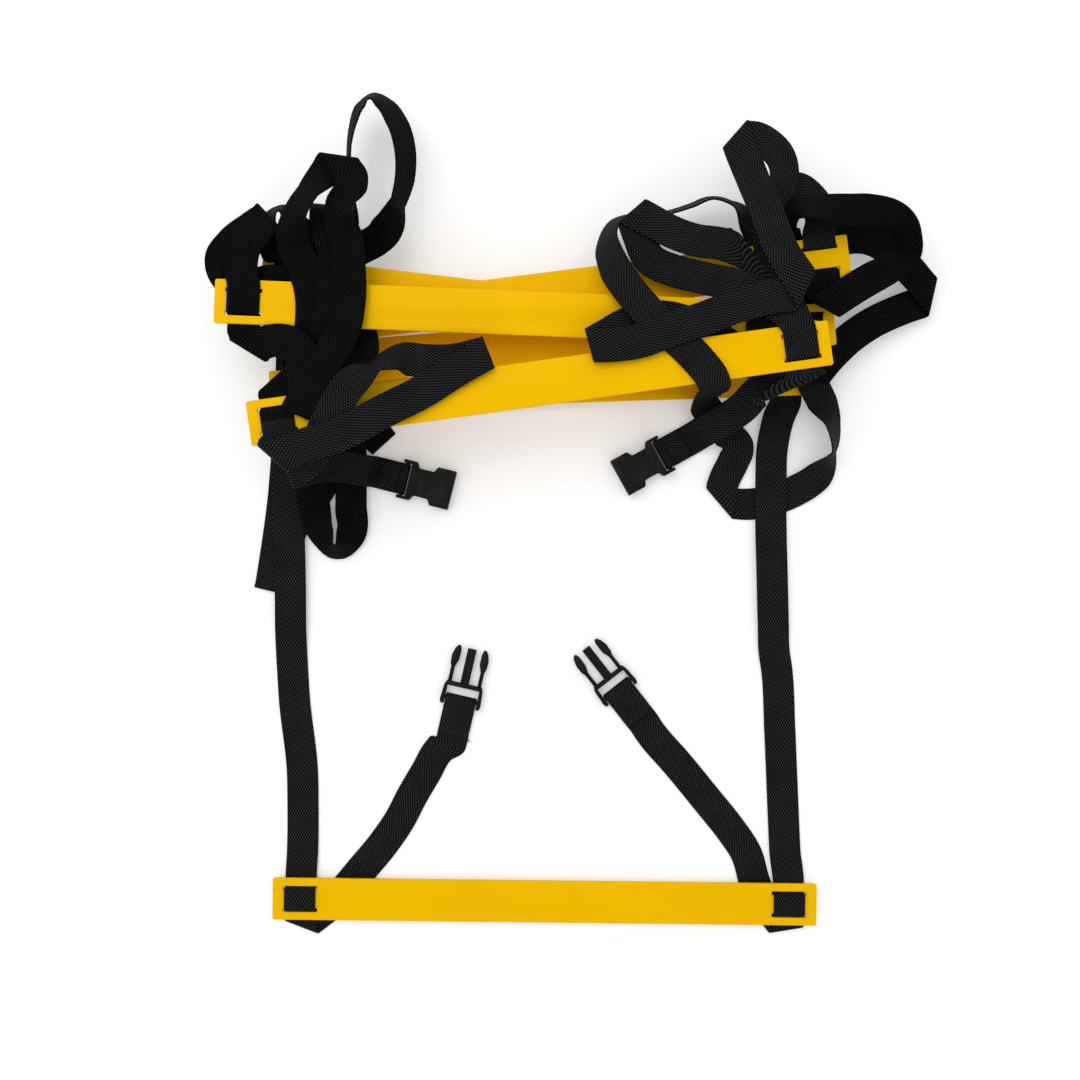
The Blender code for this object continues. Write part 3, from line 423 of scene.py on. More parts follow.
RIGHT_WEB_7 = (
    Thread(7, RIGHT, UP, ABOVE, ABOVE, False),
    Fold(758, 258, 75, 71),
    (722, 244, 68), (695, 240, 67), (668, 230, 67), (652, 221, 68),
    Fold(632, 211, 69, 65.5),
    (639, 236, 63), (649, 258, 61), (672, 270, 61.5), (695, 276, 63), (712, 280, 68),
    (728, 283, 77), (745, 289, 82), (763, 296, 85), (779, 306, 92), (789, 313, 94.2),
    Thread(8, RIGHT, UP, ABOVE, ABOVE, True),
)
RIGHT_WEB_8 = (
    Thread(8, RIGHT, DOWN, ABOVE, BELOW, False),
    Fold(788, 390, 84, 80),
    (760, 391, 56), (742, 408, 38), (723, 421, 29), (706, 430, 20),
)


@dataclass(frozen=True)
class StrapPlan:
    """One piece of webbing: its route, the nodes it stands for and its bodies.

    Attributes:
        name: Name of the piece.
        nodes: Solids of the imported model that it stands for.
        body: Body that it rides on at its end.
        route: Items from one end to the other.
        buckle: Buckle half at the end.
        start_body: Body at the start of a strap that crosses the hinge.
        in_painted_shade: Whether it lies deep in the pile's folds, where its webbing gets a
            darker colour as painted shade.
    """

    name: str
    nodes: tuple[str, ...]
    body: str
    route: Route
    buckle: BucklePlace | None = None
    start_body: str | None = None
    in_painted_shade: bool = False


PILE = "pile"
FIRST_BAY = "first_bay"
HINGE_PLACE = (540, 600, 6.5)
HINGE_Y = PLAN.place(*HINGE_PLACE).y

ROUTES: dict[str, tuple[Route, ...]] = {
    "left": (
        LEFT_WEB_1, LEFT_WEB_2, LEFT_WEB_3, LEFT_WEB_4,
        LEFT_WEB_5, LEFT_WEB_6, LEFT_WEB_7, LEFT_WEB_8,
    ),
    "right": (
        RIGHT_WEB_1, RIGHT_WEB_2, RIGHT_WEB_3, RIGHT_WEB_4,
        RIGHT_WEB_5, RIGHT_WEB_6, RIGHT_WEB_7, RIGHT_WEB_8,
    ),
}
MALES = {"left": MALE_LEFT, "right": MALE_RIGHT}
FEMALES = {"left": FEMALE_LEFT, "right": FEMALE_RIGHT}
# Bays whose webbing lies deep in the pile's folds and is darkened there as painted shade.
PAINTED_SHADE_BAYS = {"left": range(3, 8), "right": range(3, 5)}


def strap_plan(number: int, side: str) -> StrapPlan:
    """Plan of a piece of webbing.

    Args:
        number: Its place along the ladder, from 1.
        side: Side of the ladder, left or right.

    Returns:
        The plan.
    """
    name, route = f"webbing_{number}_{side}", ROUTES[side][number - 1]
    if number == 1:
        nodes = tuple(f"{node}_{side}" for node in ("male_tail", "bay_1", "bay_1_root"))
        return StrapPlan(name, nodes, FIRST_BAY, route, MALES[side], PILE)
    if number == len(ROUTES[side]):
        return StrapPlan(name, (f"female_tail_{side}",), PILE, route, FEMALES[side])
    nodes = (f"bay_{number}_{side}",)
    return StrapPlan(name, nodes, PILE, route, in_painted_shade=number in PAINTED_SHADE_BAYS[side])


STRAPS = [strap_plan(number, side) for number in range(1, len(RUNGS) + 1) for side in ROUTES]


def flat(vector: Vector) -> Vector:
    """Unit direction of a vector in plan."""
    return Vector((vector.x, vector.y, 0)).normalized()


def left_of(heading: Vector) -> Vector:
    """Horizontal direction to the left of a heading."""
    return Vector((-heading.y, heading.x, 0)).normalized()


def rung_frame(index: int) -> tuple[Vector, Vector, Vector]:
    """Centre of a rung and its directions along and across.

    Args:
        index: The rung's number, from 1.

    Returns:
        Centre, direction along the rung and direction across it.
    """
    rung = RUNGS[index - 1]
    left = PLAN.place(*rung.left, rung.height)
    right = PLAN.place(*rung.right, rung.height)
    along = (right - left).normalized()
    return (left + right) / 2, along, left_of(along)


@dataclass
class RouteReader:
    """Turns the items of a route into the stations of a strap."""

    arc_steps: int = 4
    fold_steps: int = 8
    loop_steps: int = 10

    def thread(self, item: Thread) -> list[Station]:
        """Stations of half a window's threading, in the order of travel.

        Args:
            item: The rung, its end and the faces that the webbing lies on.

        Returns:
            Stations from the centre bar outwards, or inwards where the item says so.
        """
        centre, along, across = rung_frame(item.rung)
        window = RUNG.length / 2 - RUNG.end_bar - WEB.width / 2 - RUNG.side_clearance
        middle = centre + along * (item.end.value * window)
        out = across * item.way.value
        lift = RUNG.thickness / 2 + WEB.gap + WEB.thickness / 2
        radius = RUNG.slot / 2
        inner = RUNG.centre_bar / 2
        path = [(0.0, item.centre.value * lift, 0.0)]
        if item.centre == item.edge:
            path.append((inner + RUNG.slot, item.edge.value * lift, 0.0))
        else:
            turns = [math.pi / 2 * step / self.arc_steps for step in range(self.arc_steps + 1)]
            arc = [
                (radius * math.sin(turn), lift - radius + radius * math.cos(turn), turn)
                for turn in turns
            ]
            path += [
                (inner + reach, item.centre.value * height, -item.centre.value * turn)
                for reach, height, turn in arc
            ]
            path += [
                (inner + RUNG.slot - reach, item.edge.value * height, item.edge.value * turn)
                for reach, height, turn in reversed(arc)
            ]
            path.append((RUNG.width / 2, item.edge.value * lift, 0.0))
        stations = []
        for reach, height, tilt in path:
            heading = out * math.cos(tilt) + Vector((0, 0, math.sin(tilt)))
            point = middle + out * reach + Vector((0, 0, height))
            stations.append(Station(point, None, heading))
        if item.inward:
            stations.reverse()
            for station in stations:
                station.heading = -station.heading
        travel = -out if item.inward else out
        for station in stations:
            station.half = left_of(travel) * (WEB.width / 2)
        return stations

    def fold(self, item: Fold, before: Vector, after: Vector) -> list[Station]:
        """Stations round a flat fold.

        Args:
            item: The fold.
            before: Last centre before it.
            after: First centre after it.

        Returns:
            Stations from the arriving to the leaving run.
        """
        start = PLAN.place(item.x, item.y, item.height)
        end = PLAN.place(item.x, item.y, item.next_height)
        radius = abs(end.z - start.z) / 2
        way = 1 if end.z > start.z else -1
        arrive, leave = flat(start - before), flat(after - end)
        total = arrive + leave
        square = total.length < WEB.thickness / WEB.width
        line = left_of(arrive) if square else total.normalized()
        outward = left_of(line)
        if outward.dot(arrive) < 0:
            outward = -outward
        half = line * (WEB.width / 2 / line.dot(left_of(arrive)))
        slip = line * (line.dot(arrive) / outward.dot(arrive))
        axis = start - outward * radius
        stations = []
        for step in range(self.fold_steps + 1):
            turn = math.pi * step / self.fold_steps
            point = axis + outward * (radius * math.sin(turn))
            point += slip * (radius * (turn - math.pi / 2))
            point.z = start.z + way * radius * (1 - math.cos(turn))
            heading = outward * math.cos(turn) + slip + Vector((0, 0, way * math.sin(turn)))
            stations.append(Station(point, half.copy(), heading.normalized()))
        stations[0].heading = arrive
        stations[-1].heading = leave
        return stations

    def bar_loop(self, buckle: BucklePlace) -> list[Station]:
        """Stations of webbing that rounds a buckle's bar and laps back.

        Args:
            buckle: The buckle half.

        Returns:
            Stations up to the end of the lap.
        """
        point, forward = buckle_frame(buckle)
        up = Vector((0, 0, 1))
        half = left_of(forward) * (WEB.width / 2)
        straight = point - forward * (buckle.lap + RUNG.slot) - up * BAR_DROP
        stations = [Station(straight, half.copy(), forward)]
        for step in range(self.loop_steps + 1):
            turn = math.pi * step / self.loop_steps
            centre = point + forward * (BAR_DROP * math.sin(turn))
            centre -= up * (BAR_DROP * math.cos(turn))
            heading = forward * math.cos(turn) + up * math.sin(turn)
            stations.append(Station(centre, half.copy(), heading))
        for reach in (buckle.lap_start, buckle.lap):
            centre = point - forward * reach + up * LAP_HEIGHT
            stations.append(Station(centre, half.copy(), -forward))
        return stations

    def group(self, item: Thread | Station | Pass) -> list[Station]:
        """Stations of an item that doesn't hang on its neighbours.

        Args:
            item: A threading, a station or a free point.

        Returns:
            Its stations, in the order of travel.
        """
        if isinstance(item, Thread):
            return self.thread(item)
        if isinstance(item, Station):
            return [item]
        point = PLAN.place(item.x, item.y, item.height)
        return [Station(point, lift=math.radians(item.lift))]

    def ends(self, item: Item) -> tuple[Vector, Vector]:
        """First and last centre of an item.

        Args:
            item: Any item of a route.

        Returns:
            First and last centre.
        """
        if isinstance(item, Fold):
            first = PLAN.place(item.x, item.y, item.height)
            return first, PLAN.place(item.x, item.y, item.next_height)
        stations = self.group(item)
        return stations[0].centre, stations[-1].centre

    def stations(self, route: list[Item]) -> list[Station]:
        """Stations of a whole route, with the strap's side turned at each fold.

        Args:
            route: Items from one end of the strap to the other.

        Returns:
            All stations, each with its heading and half width.
        """
        made: list[Station] = []
        side = 1.0
        for index, item in enumerate(route):
            if isinstance(item, Fold):
                before = self.ends(route[index - 1])[1]
                after = self.ends(route[index + 1])[0]
                group = self.fold(item, before, after)
            else:
                group = self.group(item)
            for station in group:
                station.side = side
                if station.half is not None:
                    station.half = station.half * side
            if isinstance(item, Fold):
                side = -side
            made.extend(group)
        self.steer(made)
        return made

    def steer(self, stations: list[Station]) -> None:
        """Give free stations their heading and half width.

        Args:
            stations: Stations of the whole strap, which are changed.
        """
        last_index = len(stations) - 1
        for index, station in enumerate(stations):
            if station.heading is None:
                first = station.centre - stations[max(index - 1, 0)].centre
                last = stations[min(index + 1, last_index)].centre - station.centre
                if first.length == 0:
                    mix = last
                elif last.length == 0:
                    mix = first
                else:
                    mix = first.normalized() * last.length + last.normalized() * first.length
                station.heading = mix.normalized()
            if station.half is None:
                level = left_of(station.heading)
                rise = station.heading.cross(level)
                turned = level * math.cos(station.lift) + rise * math.sin(station.lift)
                station.half = turned * (station.side * WEB.width / 2)


def tubes(
    name: str, points: list[Vector] | list[list[float]], rows: int, ring: int
) -> bpy.types.Mesh:
    """Mesh of closed tubes.

    Args:
        name: Name of the mesh.
        points: Points of all tubes, one tube and one row after another.
        rows: Rows of a tube.
        ring: Points of a row.

    Returns:
        The mesh, whose faces look outwards.
    """
    faces = []
    for start in range(0, len(points), rows * ring):
        for low in range(start, start + (rows - 1) * ring, ring):
            high = low + ring
            for at in range(ring):
                after = (at + 1) % ring
                faces.append((low + at, low + after, high + after, high + at))
        faces.append(tuple(reversed(range(start, start + ring))))
        faces.append(tuple(range(start + (rows - 1) * ring, start + rows * ring)))
    mesh = bpy.data.meshes.new(name)
    mesh.from_pydata(points, [], faces)
    made = bmesh.new()
    made.from_mesh(mesh)
    bmesh.ops.recalc_face_normals(made, faces=made.faces)
    made.to_mesh(mesh)
    made.free()
    return mesh


@dataclass
class Ribbon:
    """Middle surface of a strap: centres and half widths, row by row."""

    centres: list[Vector] | np.ndarray
    halves: list[Vector] | np.ndarray

    @classmethod
    def along(cls, stations: list[Station]) -> "Ribbon":
        """Evenly spaced rows along a strap's stations.

        Args:
            stations: Stations with headings and half widths.

        Returns:
            The ribbon.
        """
        ribbon = cls([stations[0].centre], [stations[0].half])
        for first, last in zip(stations, stations[1:]):
            ribbon.span(first, last)
        return ribbon.even()

    def span(self, first: Station, last: Station) -> None:
        """Add the rows from one station to the next.

        Args:
            first: Where the rows begin.
            last: Where they end.
        """
        reach = (last.centre - first.centre).length
        count = max(1, math.ceil(reach / WEB.row))
        for step in range(1, count):
            t = step / count
            centre = first.centre * (2 * t**3 - 3 * t**2 + 1)
            centre += first.heading * (reach * (t**3 - 2 * t**2 + t))
            centre += last.centre * (3 * t**2 - 2 * t**3)
            centre += last.heading * (reach * (t**3 - t**2))
            heading = first.centre * (6 * t**2 - 6 * t)
            heading += first.heading * (reach * (3 * t**2 - 4 * t + 1))
            heading += last.centre * (6 * t - 6 * t**2)
            heading += last.heading * (reach * (3 * t**2 - 2 * t))
            heading.normalize()
            half = first.half.lerp(last.half, t)
            skew = heading * half.dot(heading)
            square = (half - skew).normalized() * (WEB.width / 2)
            self.centres.append(centre)
            self.halves.append(square + skew)
        self.centres.append(last.centre)
        self.halves.append(last.half)

    def even(self) -> "Ribbon":
        """The same ribbon with rows a weave's step apart.

        Returns:
            The new ribbon.
        """
        centres, halves = np.array(self.centres), np.array(self.halves)
        steps = np.linalg.norm(np.diff(centres, axis=0), axis=1)
        travelled = np.concatenate(([0.0], np.cumsum(steps)))
        count = max(2, round(travelled[-1] / WEB.row))
        places = np.linspace(0, travelled[-1], count + 1)
        columns = [np.interp(places, travelled, centres[:, axis]) for axis in range(3)]
        sides = [np.interp(places, travelled, halves[:, axis]) for axis in range(3)]
        return Ribbon(np.column_stack(columns), np.column_stack(sides))

    def mesh(self, name: str) -> bpy.types.Mesh:
        """Closed webbing with rounded edges round the ribbon.

        The point attribute weave holds the place across and along in metres,
        and rib is 1 or -1 where a thread of the weave stands up or dips.

        Args:
            name: Name of the mesh.

        Returns:
            The mesh, in world places.
        """
        centres, halves = np.array(self.centres), np.array(self.halves)
        headings = np.gradient(centres, axis=0)
        normals = np.cross(headings, halves)
        normals /= np.linalg.norm(normals, axis=1)[:, None]
        shares = np.linspace(1, -1, WEB.columns + 1)
        middle = WEB.columns // 2
        inset = 1 - WEB.edge_round / (WEB.width / 2)
        rise = WEB.thickness / 2 - WEB.relief / 2
        profile = [(share * inset, rise, middle - at) for at, share in enumerate(shares)]
        profile.append((-1.0, 0.0, None))
        profile += [(-share * inset, -rise, at - middle) for at, share in enumerate(shares)]
        profile.append((1.0, 0.0, None))
        across = np.array([place for place, _, _ in profile])
        height = np.array([lift for _, lift, _ in profile])
        points = (
            centres[:, None, :]
            + halves[:, None, :] * across[None, :, None]
            + normals[:, None, :] * height[None, :, None]
        )
        rows, ring = points.shape[:2]
        mesh = tubes(name, points.reshape(-1, 3).tolist(), rows, ring)
        turns = np.arange(rows)[:, None] / 2 + [[column or 0 for _, _, column in profile]]
        on_face = np.array([[column is not None for _, _, column in profile]])
        rib = np.cos(math.pi * turns) * on_face
        rib[0] = rib[-1] = 0
        values = mesh.attributes.new("rib", "FLOAT", "POINT").data
        values.foreach_set("value", rib.ravel())
        weave = np.zeros((rows, ring, 3))
        weave[:, :, 0] = across * WEB.width / 2
        weave[:, :, 1] = np.arange(rows)[:, None] * WEB.row
        values = mesh.attributes.new("weave", "FLOAT_VECTOR", "POINT").data
        values.foreach_set("vector", weave.ravel())
        mesh.shade_smooth()
        return mesh


class NodeTree:
    """Small helper that adds, feeds and joins the nodes of a tree."""

    def __init__(self, tree: bpy.types.NodeTree) -> None:
        """Keep the tree that nodes are added to."""
        self.tree = tree

    @classmethod
    def group(
        cls, name: str, kind: str, inputs: dict[str, str], outputs: dict[str, str]
    ) -> "NodeTree":
        """A new tree with sockets of its own.

        Args:
            name: Name of the tree.
            kind: Type of the tree.
            inputs: Kinds of its input sockets by their names.
            outputs: Kinds of its output sockets by their names.

        Returns:
            The tree, with no nodes yet.
        """
        made = cls(bpy.data.node_groups.new(name, kind))
        for way, sockets in (("INPUT", inputs), ("OUTPUT", outputs)):
            for label, face in sockets.items():
                made.tree.interface.new_socket(label, in_out=way, socket_type=f"NodeSocket{face}")
        return made

    def feed(self, target: Socket, value: object) -> None:
        """Join a socket to an input, or give the input a plain value.

        Args:
            target: The input.
            value: A socket, or a plain value.
        """
        if isinstance(value, Socket):
            self.tree.links.new(value, target)
        else:
            target.default_value = value

    def add(
        self, kind: str, inputs: dict[str | int, object] | None = None, **settings: object
    ) -> bpy.types.bpy_prop_collection:
        """Add a node.

        Args:
            kind: Type of the node.
            inputs: Sockets or values by the names or numbers of its inputs.
            settings: The node's own settings.

        Returns:
            The node's outputs.
        """
        node = self.tree.nodes.new(kind)
        for name, value in settings.items():
            setattr(node, name, value)
        for name, value in (inputs or {}).items():
            self.feed(node.inputs[name], value)
        return node.outputs

    def calc(self, operation: str, *values: object) -> Socket:
        """Add a Math node whose inputs are sockets or numbers."""
        return self.add("ShaderNodeMath", dict(enumerate(values)), operation=operation)[0]

    def spread(self, value: Socket, low: float, high: float) -> Socket:
        """A value from 0 to 1 spread from low to high."""
        return self.calc("ADD", self.calc("MULTIPLY", value, high - low), low)

    def blend(self, share: Socket, first: Colour, second: Colour) -> Socket:
        """A colour between two, by a mask that is 0 for the first."""
        inputs = {"Factor": share, "A": first, "B": second}
        return self.add("ShaderNodeMix", inputs, data_type="RGBA")["Result"]

    def noise(self, place: Socket, scale: object, detail: float = 2) -> Socket:
        """Noise from 0 to 1 at a place."""
        inputs = {"Vector": place, "Scale": scale, "Detail": detail}
        return self.add("ShaderNodeTexNoise", inputs)[0]

    def bump(self, height: Socket, distance: float, strength: float) -> Socket:
        """A normal bent by a height."""
        inputs = {"Height": height, "Distance": distance, "Strength": strength}
        return self.add("ShaderNodeBump", inputs)[0]


# Exponents that shape the lit crown of a thread, across it and along it.
CROWN_ACROSS, CROWN_ALONG = 2, 4
THREAD_ROUNDNESS = 0.6
DRIFT_DETAIL, MARK_DETAIL = 3, 6
MARK_FINENESS, MARK_CONTRAST = 14, 3


@cache
def weave_group() -> bpy.types.NodeTree:
    """Shader group of a basket weave that follows a strap's weave attribute.

    Returns:
        The group, with a lit crown and a height for every thread.
    """
    inputs = {"Place": "Vector", "Column": "Float", "Row": "Float"}
    outputs = {"Crown": "Float", "Height": "Float"}
    made = NodeTree.group("basket_weave", "ShaderNodeTree", inputs, outputs)
    source = made.add("NodeGroupInput")
    place = made.add("ShaderNodeSeparateXYZ", {0: source["Place"]})
    column = made.calc("ADD", made.calc("DIVIDE", place[0], source["Column"]), 0.5)
    row = made.calc("DIVIDE", place[1], source["Row"])
    # Every other column of threads is shifted along by half a row.
    odd = made.calc("FLOORED_MODULO", made.calc("FLOOR", column), 2)
    shifted = made.calc("ADD", row, made.calc("MULTIPLY_ADD", odd, 0.5, 0.5))
    across, along = (
        made.calc("SINE", made.calc("MULTIPLY", made.calc("FRACT", thread), math.pi))
        for thread in (column, shifted)
    )
    rounded = made.calc("POWER", across, THREAD_ROUNDNESS)
    crown = made.calc("POWER", across, CROWN_ACROSS)
    crown = made.calc("MULTIPLY", crown, made.calc("POWER", along, CROWN_ALONG))
    height = made.calc("MULTIPLY", rounded, along)
    made.add("NodeGroupOutput", {"Crown": crown, "Height": height})
    return made.tree


@cache
def marks_group() -> bpy.types.NodeTree:
    """Shader group of slow colour drift and fine marks.

    Returns:
        The group, with a slow drift and fine marks from 0 to 1.
    """
    inputs = {"Place": "Vector", "Size": "Float"}
    outputs = {"Drift": "Float", "Marks": "Float"}
    made = NodeTree.group("soft_marks", "ShaderNodeTree", inputs, outputs)
    source = made.add("NodeGroupInput")
    fine_size = made.calc("MULTIPLY", source["Size"], MARK_FINENESS)
    slow, fine = (
        made.noise(source["Place"], size, detail)
        for size, detail in ((source["Size"], DRIFT_DETAIL), (fine_size, MARK_DETAIL))
    )
    marks = made.calc("POWER", fine, MARK_CONTRAST)
    made.add("NodeGroupOutput", {"Drift": slow, "Marks": marks})
    return made.tree


def new_material(
    name: str,
) -> tuple[NodeTree, bpy.types.bpy_prop_collection, bpy.types.Material]:
    """A new material with its nodes and the inputs of its main shader.

    Args:
        name: Name of the material.

    Returns:
        Its nodes, the shader's inputs and the material.
    """
    material = bpy.data.materials.new(name)
    material.use_nodes = True
    shader = material.node_tree.nodes["Principled BSDF"]
    return NodeTree(material.node_tree), shader.inputs, material


@dataclass(frozen=True, kw_only=True)
class Finish:
    """A finish: its name, its sheen and the depth and strength of its bump."""

    name: str
    specular: float
    bump: float
    strength: float

    def surface(self, made: NodeTree) -> tuple[Socket, Socket, Socket]:
        """Colour, roughness and height of the surface."""
        raise NotImplementedError

    def make(self) -> bpy.types.Material:
        """Build the material, or find the one already built."""
        return bpy.data.materials.get(self.name) or self.build()

    def build(self) -> bpy.types.Material:
        """Build the material.

        Returns:
            The material.
        """
        made, shader, material = new_material(self.name)
        colour, rough, height = self.surface(made)
        made.feed(shader["Base Color"], colour)
        made.feed(shader["Roughness"], rough)
        made.feed(shader["Specular IOR Level"], self.specular)
        made.feed(shader["Normal"], made.bump(height, self.bump, self.strength))
        return material


@dataclass(frozen=True, kw_only=True)
class WovenFinish(Finish):
    """Black woven webbing whose crowns catch the light."""

    # The crowns of the threads carry a painted highlight and the gaps between them painted shade.
    crown_highlight_colour: Colour
    gap_shade_colour: Colour = (0.0008, 0.0008, 0.0009, 1)
    specular: float = 0.035
    bump: float = 0.35 * MM
    strength: float = 0.8
    column: float = (WEB.width - 2 * WEB.edge_round) / WEB.columns
    row: float = 4 * WEB.row
    drift: Point = (0.5, 1.3)
    rough: Point = (0.45, 0.75)
    mark_size: float = 60
    strand_size: Triple = (9000, 1400, 1)
    strand_share: float = 0.25

    def surface(self, made: NodeTree) -> tuple[Socket, Socket, Socket]:
        """Colour, roughness and height of the surface.

        Args:
            made: The material's nodes.

        Returns:
            Sockets of colour, roughness and height.
        """
        place = made.add("ShaderNodeAttribute", attribute_name="weave")["Vector"]
        inputs = {"Place": place, "Column": self.column, "Row": self.row}
        weave = made.add("ShaderNodeGroup", inputs, node_tree=weave_group())
        inputs = {"Place": place, "Size": self.mark_size}
        marks = made.add("ShaderNodeGroup", inputs, node_tree=marks_group())
        # The crown mask, with a slow random drift in its strength, blends painted shade in the
        # gaps into the painted highlight on the crowns.
        lit = made.calc("MULTIPLY", weave["Crown"], made.spread(marks["Drift"], *self.drift))
        stretched = made.add("ShaderNodeMapping", {"Vector": place, "Scale": self.strand_size})[0]
        strands = made.calc("MULTIPLY", made.noise(stretched, 1), self.strand_share)
        return (
            made.blend(lit, self.gap_shade_colour, self.crown_highlight_colour),
            made.spread(marks["Marks"], *self.rough),
            made.calc("ADD", weave["Height"], strands),
        )


@dataclass(frozen=True, kw_only=True)
class PlasticFinish(Finish):
    """Moulded plastic with a soft drift of colour and fine scuffs."""

    colour: Colour
    worn_colour: Colour
    rough: float
    specular: float = 0.2
    bump: float = 0.03 * MM
    strength: float = 0.5
    mark_size: float = 14
    scuff: float = 0.25
    grain_size: float = 160
    grain_detail: float = 4

    def surface(self, made: NodeTree) -> tuple[Socket, Socket, Socket]:
        """Colour, roughness and height of the surface.

        Args:
            made: The material's nodes.

        Returns:
            Sockets of colour, roughness and height.
        """
        place = made.add("ShaderNodeTexCoord")["Object"]
        inputs = {"Place": place, "Size": self.mark_size}
        marks = made.add("ShaderNodeGroup", inputs, node_tree=marks_group())
        return (
            made.blend(marks["Drift"], self.colour, self.worn_colour),
            made.spread(marks["Marks"], self.rough, self.rough + self.scuff),
            made.noise(place, self.grain_size, self.grain_detail),
        )


# Plain webbing, and a darker copy whose crowns are painted shade for webbing deep in the pile's
# folds.
PLAIN_WEB = WovenFinish(name="plain_webbing_weave", crown_highlight_colour=(0.069, 0.072, 0.077, 1))
PAINTED_SHADE_WEB = WovenFinish(
    name="painted_shade_webbing_weave", crown_highlight_colour=(0.025, 0.025, 0.022, 1), specular=0.02
)
YELLOW = PlasticFinish(
    name="rung_plastic",
    colour=(0.90, 0.49, 0.0, 1),
    worn_colour=(0.97, 0.57, 0.0, 1),
    rough=0.24,
    specular=0.03,
)
BLACK = PlasticFinish(
    name="buckle_plastic",
    colour=(0.004, 0.004, 0.0036, 1),
    worn_colour=(0.009, 0.009, 0.0072, 1),
    rough=0.34,
    specular=0.12,
    mark_size=40,
)
THREAD = PlasticFinish(
    name="stitch_thread",
    colour=(0.008, 0.008, 0.009, 1),
    worn_colour=(0.020, 0.020, 0.022, 1),
    rough=0.6,
    mark_size=90,
)
BEAD = {"Segments": 8, "Rings": 5}


def dress(made: NodeTree, geometry: Socket, material: Socket) -> bpy.types.NodeTree:
    """End a Geometry Nodes tree with real geometry that has its material.

    Args:
        made: The tree.
        geometry: What the tree has made.
        material: Its material.

    Returns:
        The finished tree.
    """
    real = made.add("GeometryNodeRealizeInstances", {0: geometry})[0]
    inputs = {"Geometry": real, "Material": material}
    dressed = made.add("GeometryNodeSetMaterial", inputs)[0]
    made.add("NodeGroupOutput", {"Geometry": dressed})
    return made.tree


@cache
def relief_tree() -> bpy.types.NodeTree:
    """Geometry Nodes that raise and sink the threads of a strap.

    Returns:
        The tree, with the relief's depth and the material as inputs.
    """
    inputs = {"Geometry": "Geometry", "Depth": "Float", "Material": "Material"}
    outputs = {"Geometry": "Geometry"}
    made = NodeTree.group("woven_relief", "GeometryNodeTree", inputs, outputs)
    source = made.add("NodeGroupInput")
    rib = made.add("GeometryNodeInputNamedAttribute", {"Name": "rib"}, data_type="FLOAT")
    reach = made.calc("MULTIPLY", rib["Attribute"], source["Depth"])
    normal = made.add("GeometryNodeInputNormal")[0]
    inputs = {0: normal, "Scale": made.calc("DIVIDE", reach, 2)}
    offset = made.add("ShaderNodeVectorMath", inputs, operation="SCALE")[0]
    inputs = {"Geometry": source["Geometry"], "Offset": offset}
    moved = made.add("GeometryNodeSetPosition", inputs)[0]
    return dress(made, moved, source["Material"])


@cache
def stitch_tree() -> bpy.types.NodeTree:
    """Geometry Nodes that lay stitches end to end along edges.

    Returns:
        The tree, with the stitches' sizes and the material as inputs.
    """
    sizes = {"Pitch": "Float", "Length": "Float", "Radius": "Float"}
    inputs = {"Geometry": "Geometry", **sizes, "Material": "Material"}
    outputs = {"Geometry": "Geometry"}
    made = NodeTree.group("stitches", "GeometryNodeTree", inputs, outputs)
    source = made.add("NodeGroupInput")
    curve = made.add("GeometryNodeMeshToCurve", {"Mesh": source["Geometry"]})[0]
    inputs = {"Curve": curve, "Length": source["Pitch"]}
    spaced = made.add("GeometryNodeResampleCurve", inputs, mode="LENGTH")[0]
    bead = made.add("GeometryNodeMeshUVSphere", {**BEAD, "Radius": source["Radius"]})["Mesh"]
    share = made.calc("DIVIDE", source["Length"], source["Radius"])
    size = made.add("ShaderNodeCombineXYZ", {0: made.calc("DIVIDE", share, 2), 1: 1, 2: 1})[0]
    stitch = made.add("GeometryNodeTransform", {"Geometry": bead, "Scale": size})[0]
    tangent = made.add("GeometryNodeInputTangent")[0]
    turn = made.add("FunctionNodeAlignEulerToVector", {"Vector": tangent}, axis="X")[0]
    inputs = {"Points": spaced, "Instance": stitch, "Rotation": turn}
    laid = made.add("GeometryNodeInstanceOnPoints", inputs)[0]
    return dress(made, laid, source["Material"])


def linked(name: str, data: bpy.types.ID) -> bpy.types.Object:
    """A new object of the scene.

    Args:
        name: Name of the object.
        data: Its mesh, lamp or camera.

    Returns:
        The object.
    """
    made = bpy.data.objects.new(name, data)
    bpy.context.scene.collection.objects.link(made)
    return made


def grown(
    name: str, mesh: bpy.types.Mesh, tree: bpy.types.NodeTree, inputs: dict[str, object]
) -> bpy.types.Object:
    """A plain mesh object made by a Geometry Nodes tree.

    Args:
        name: Name of the object.
        mesh: What goes into the tree.
        tree: The tree.
        inputs: Values by the names of the tree's inputs.

    Returns:
        The object, with no modifier left on it.
    """
    seed = linked(f"{name}_seed", mesh)
    modifier = seed.modifiers.new("nodes", "NODES")
    modifier.node_group = tree
    for socket in tree.interface.items_tree:
        if socket.in_out == "INPUT" and socket.name in inputs:
            modifier[socket.identifier] = inputs[socket.name]
    bpy.context.view_layer.update()
    shaped = seed.evaluated_get(bpy.context.evaluated_depsgraph_get())
    result = bpy.data.meshes.new_from_object(shaped)
    result.name = name
    bpy.data.objects.remove(seed)
    bpy.data.meshes.remove(mesh)
    return linked(name, result)


def settled(name: str, mesh: bmesh.types.BMesh) -> bpy.types.Mesh:
    """Plain mesh of a bmesh, which is freed.

    Args:
        name: Name of the mesh.
        mesh: The bmesh.

    Returns:
        The plain mesh.
    """
    made = bpy.data.meshes.new(name)
    mesh.to_mesh(made)
    mesh.free()
    return made


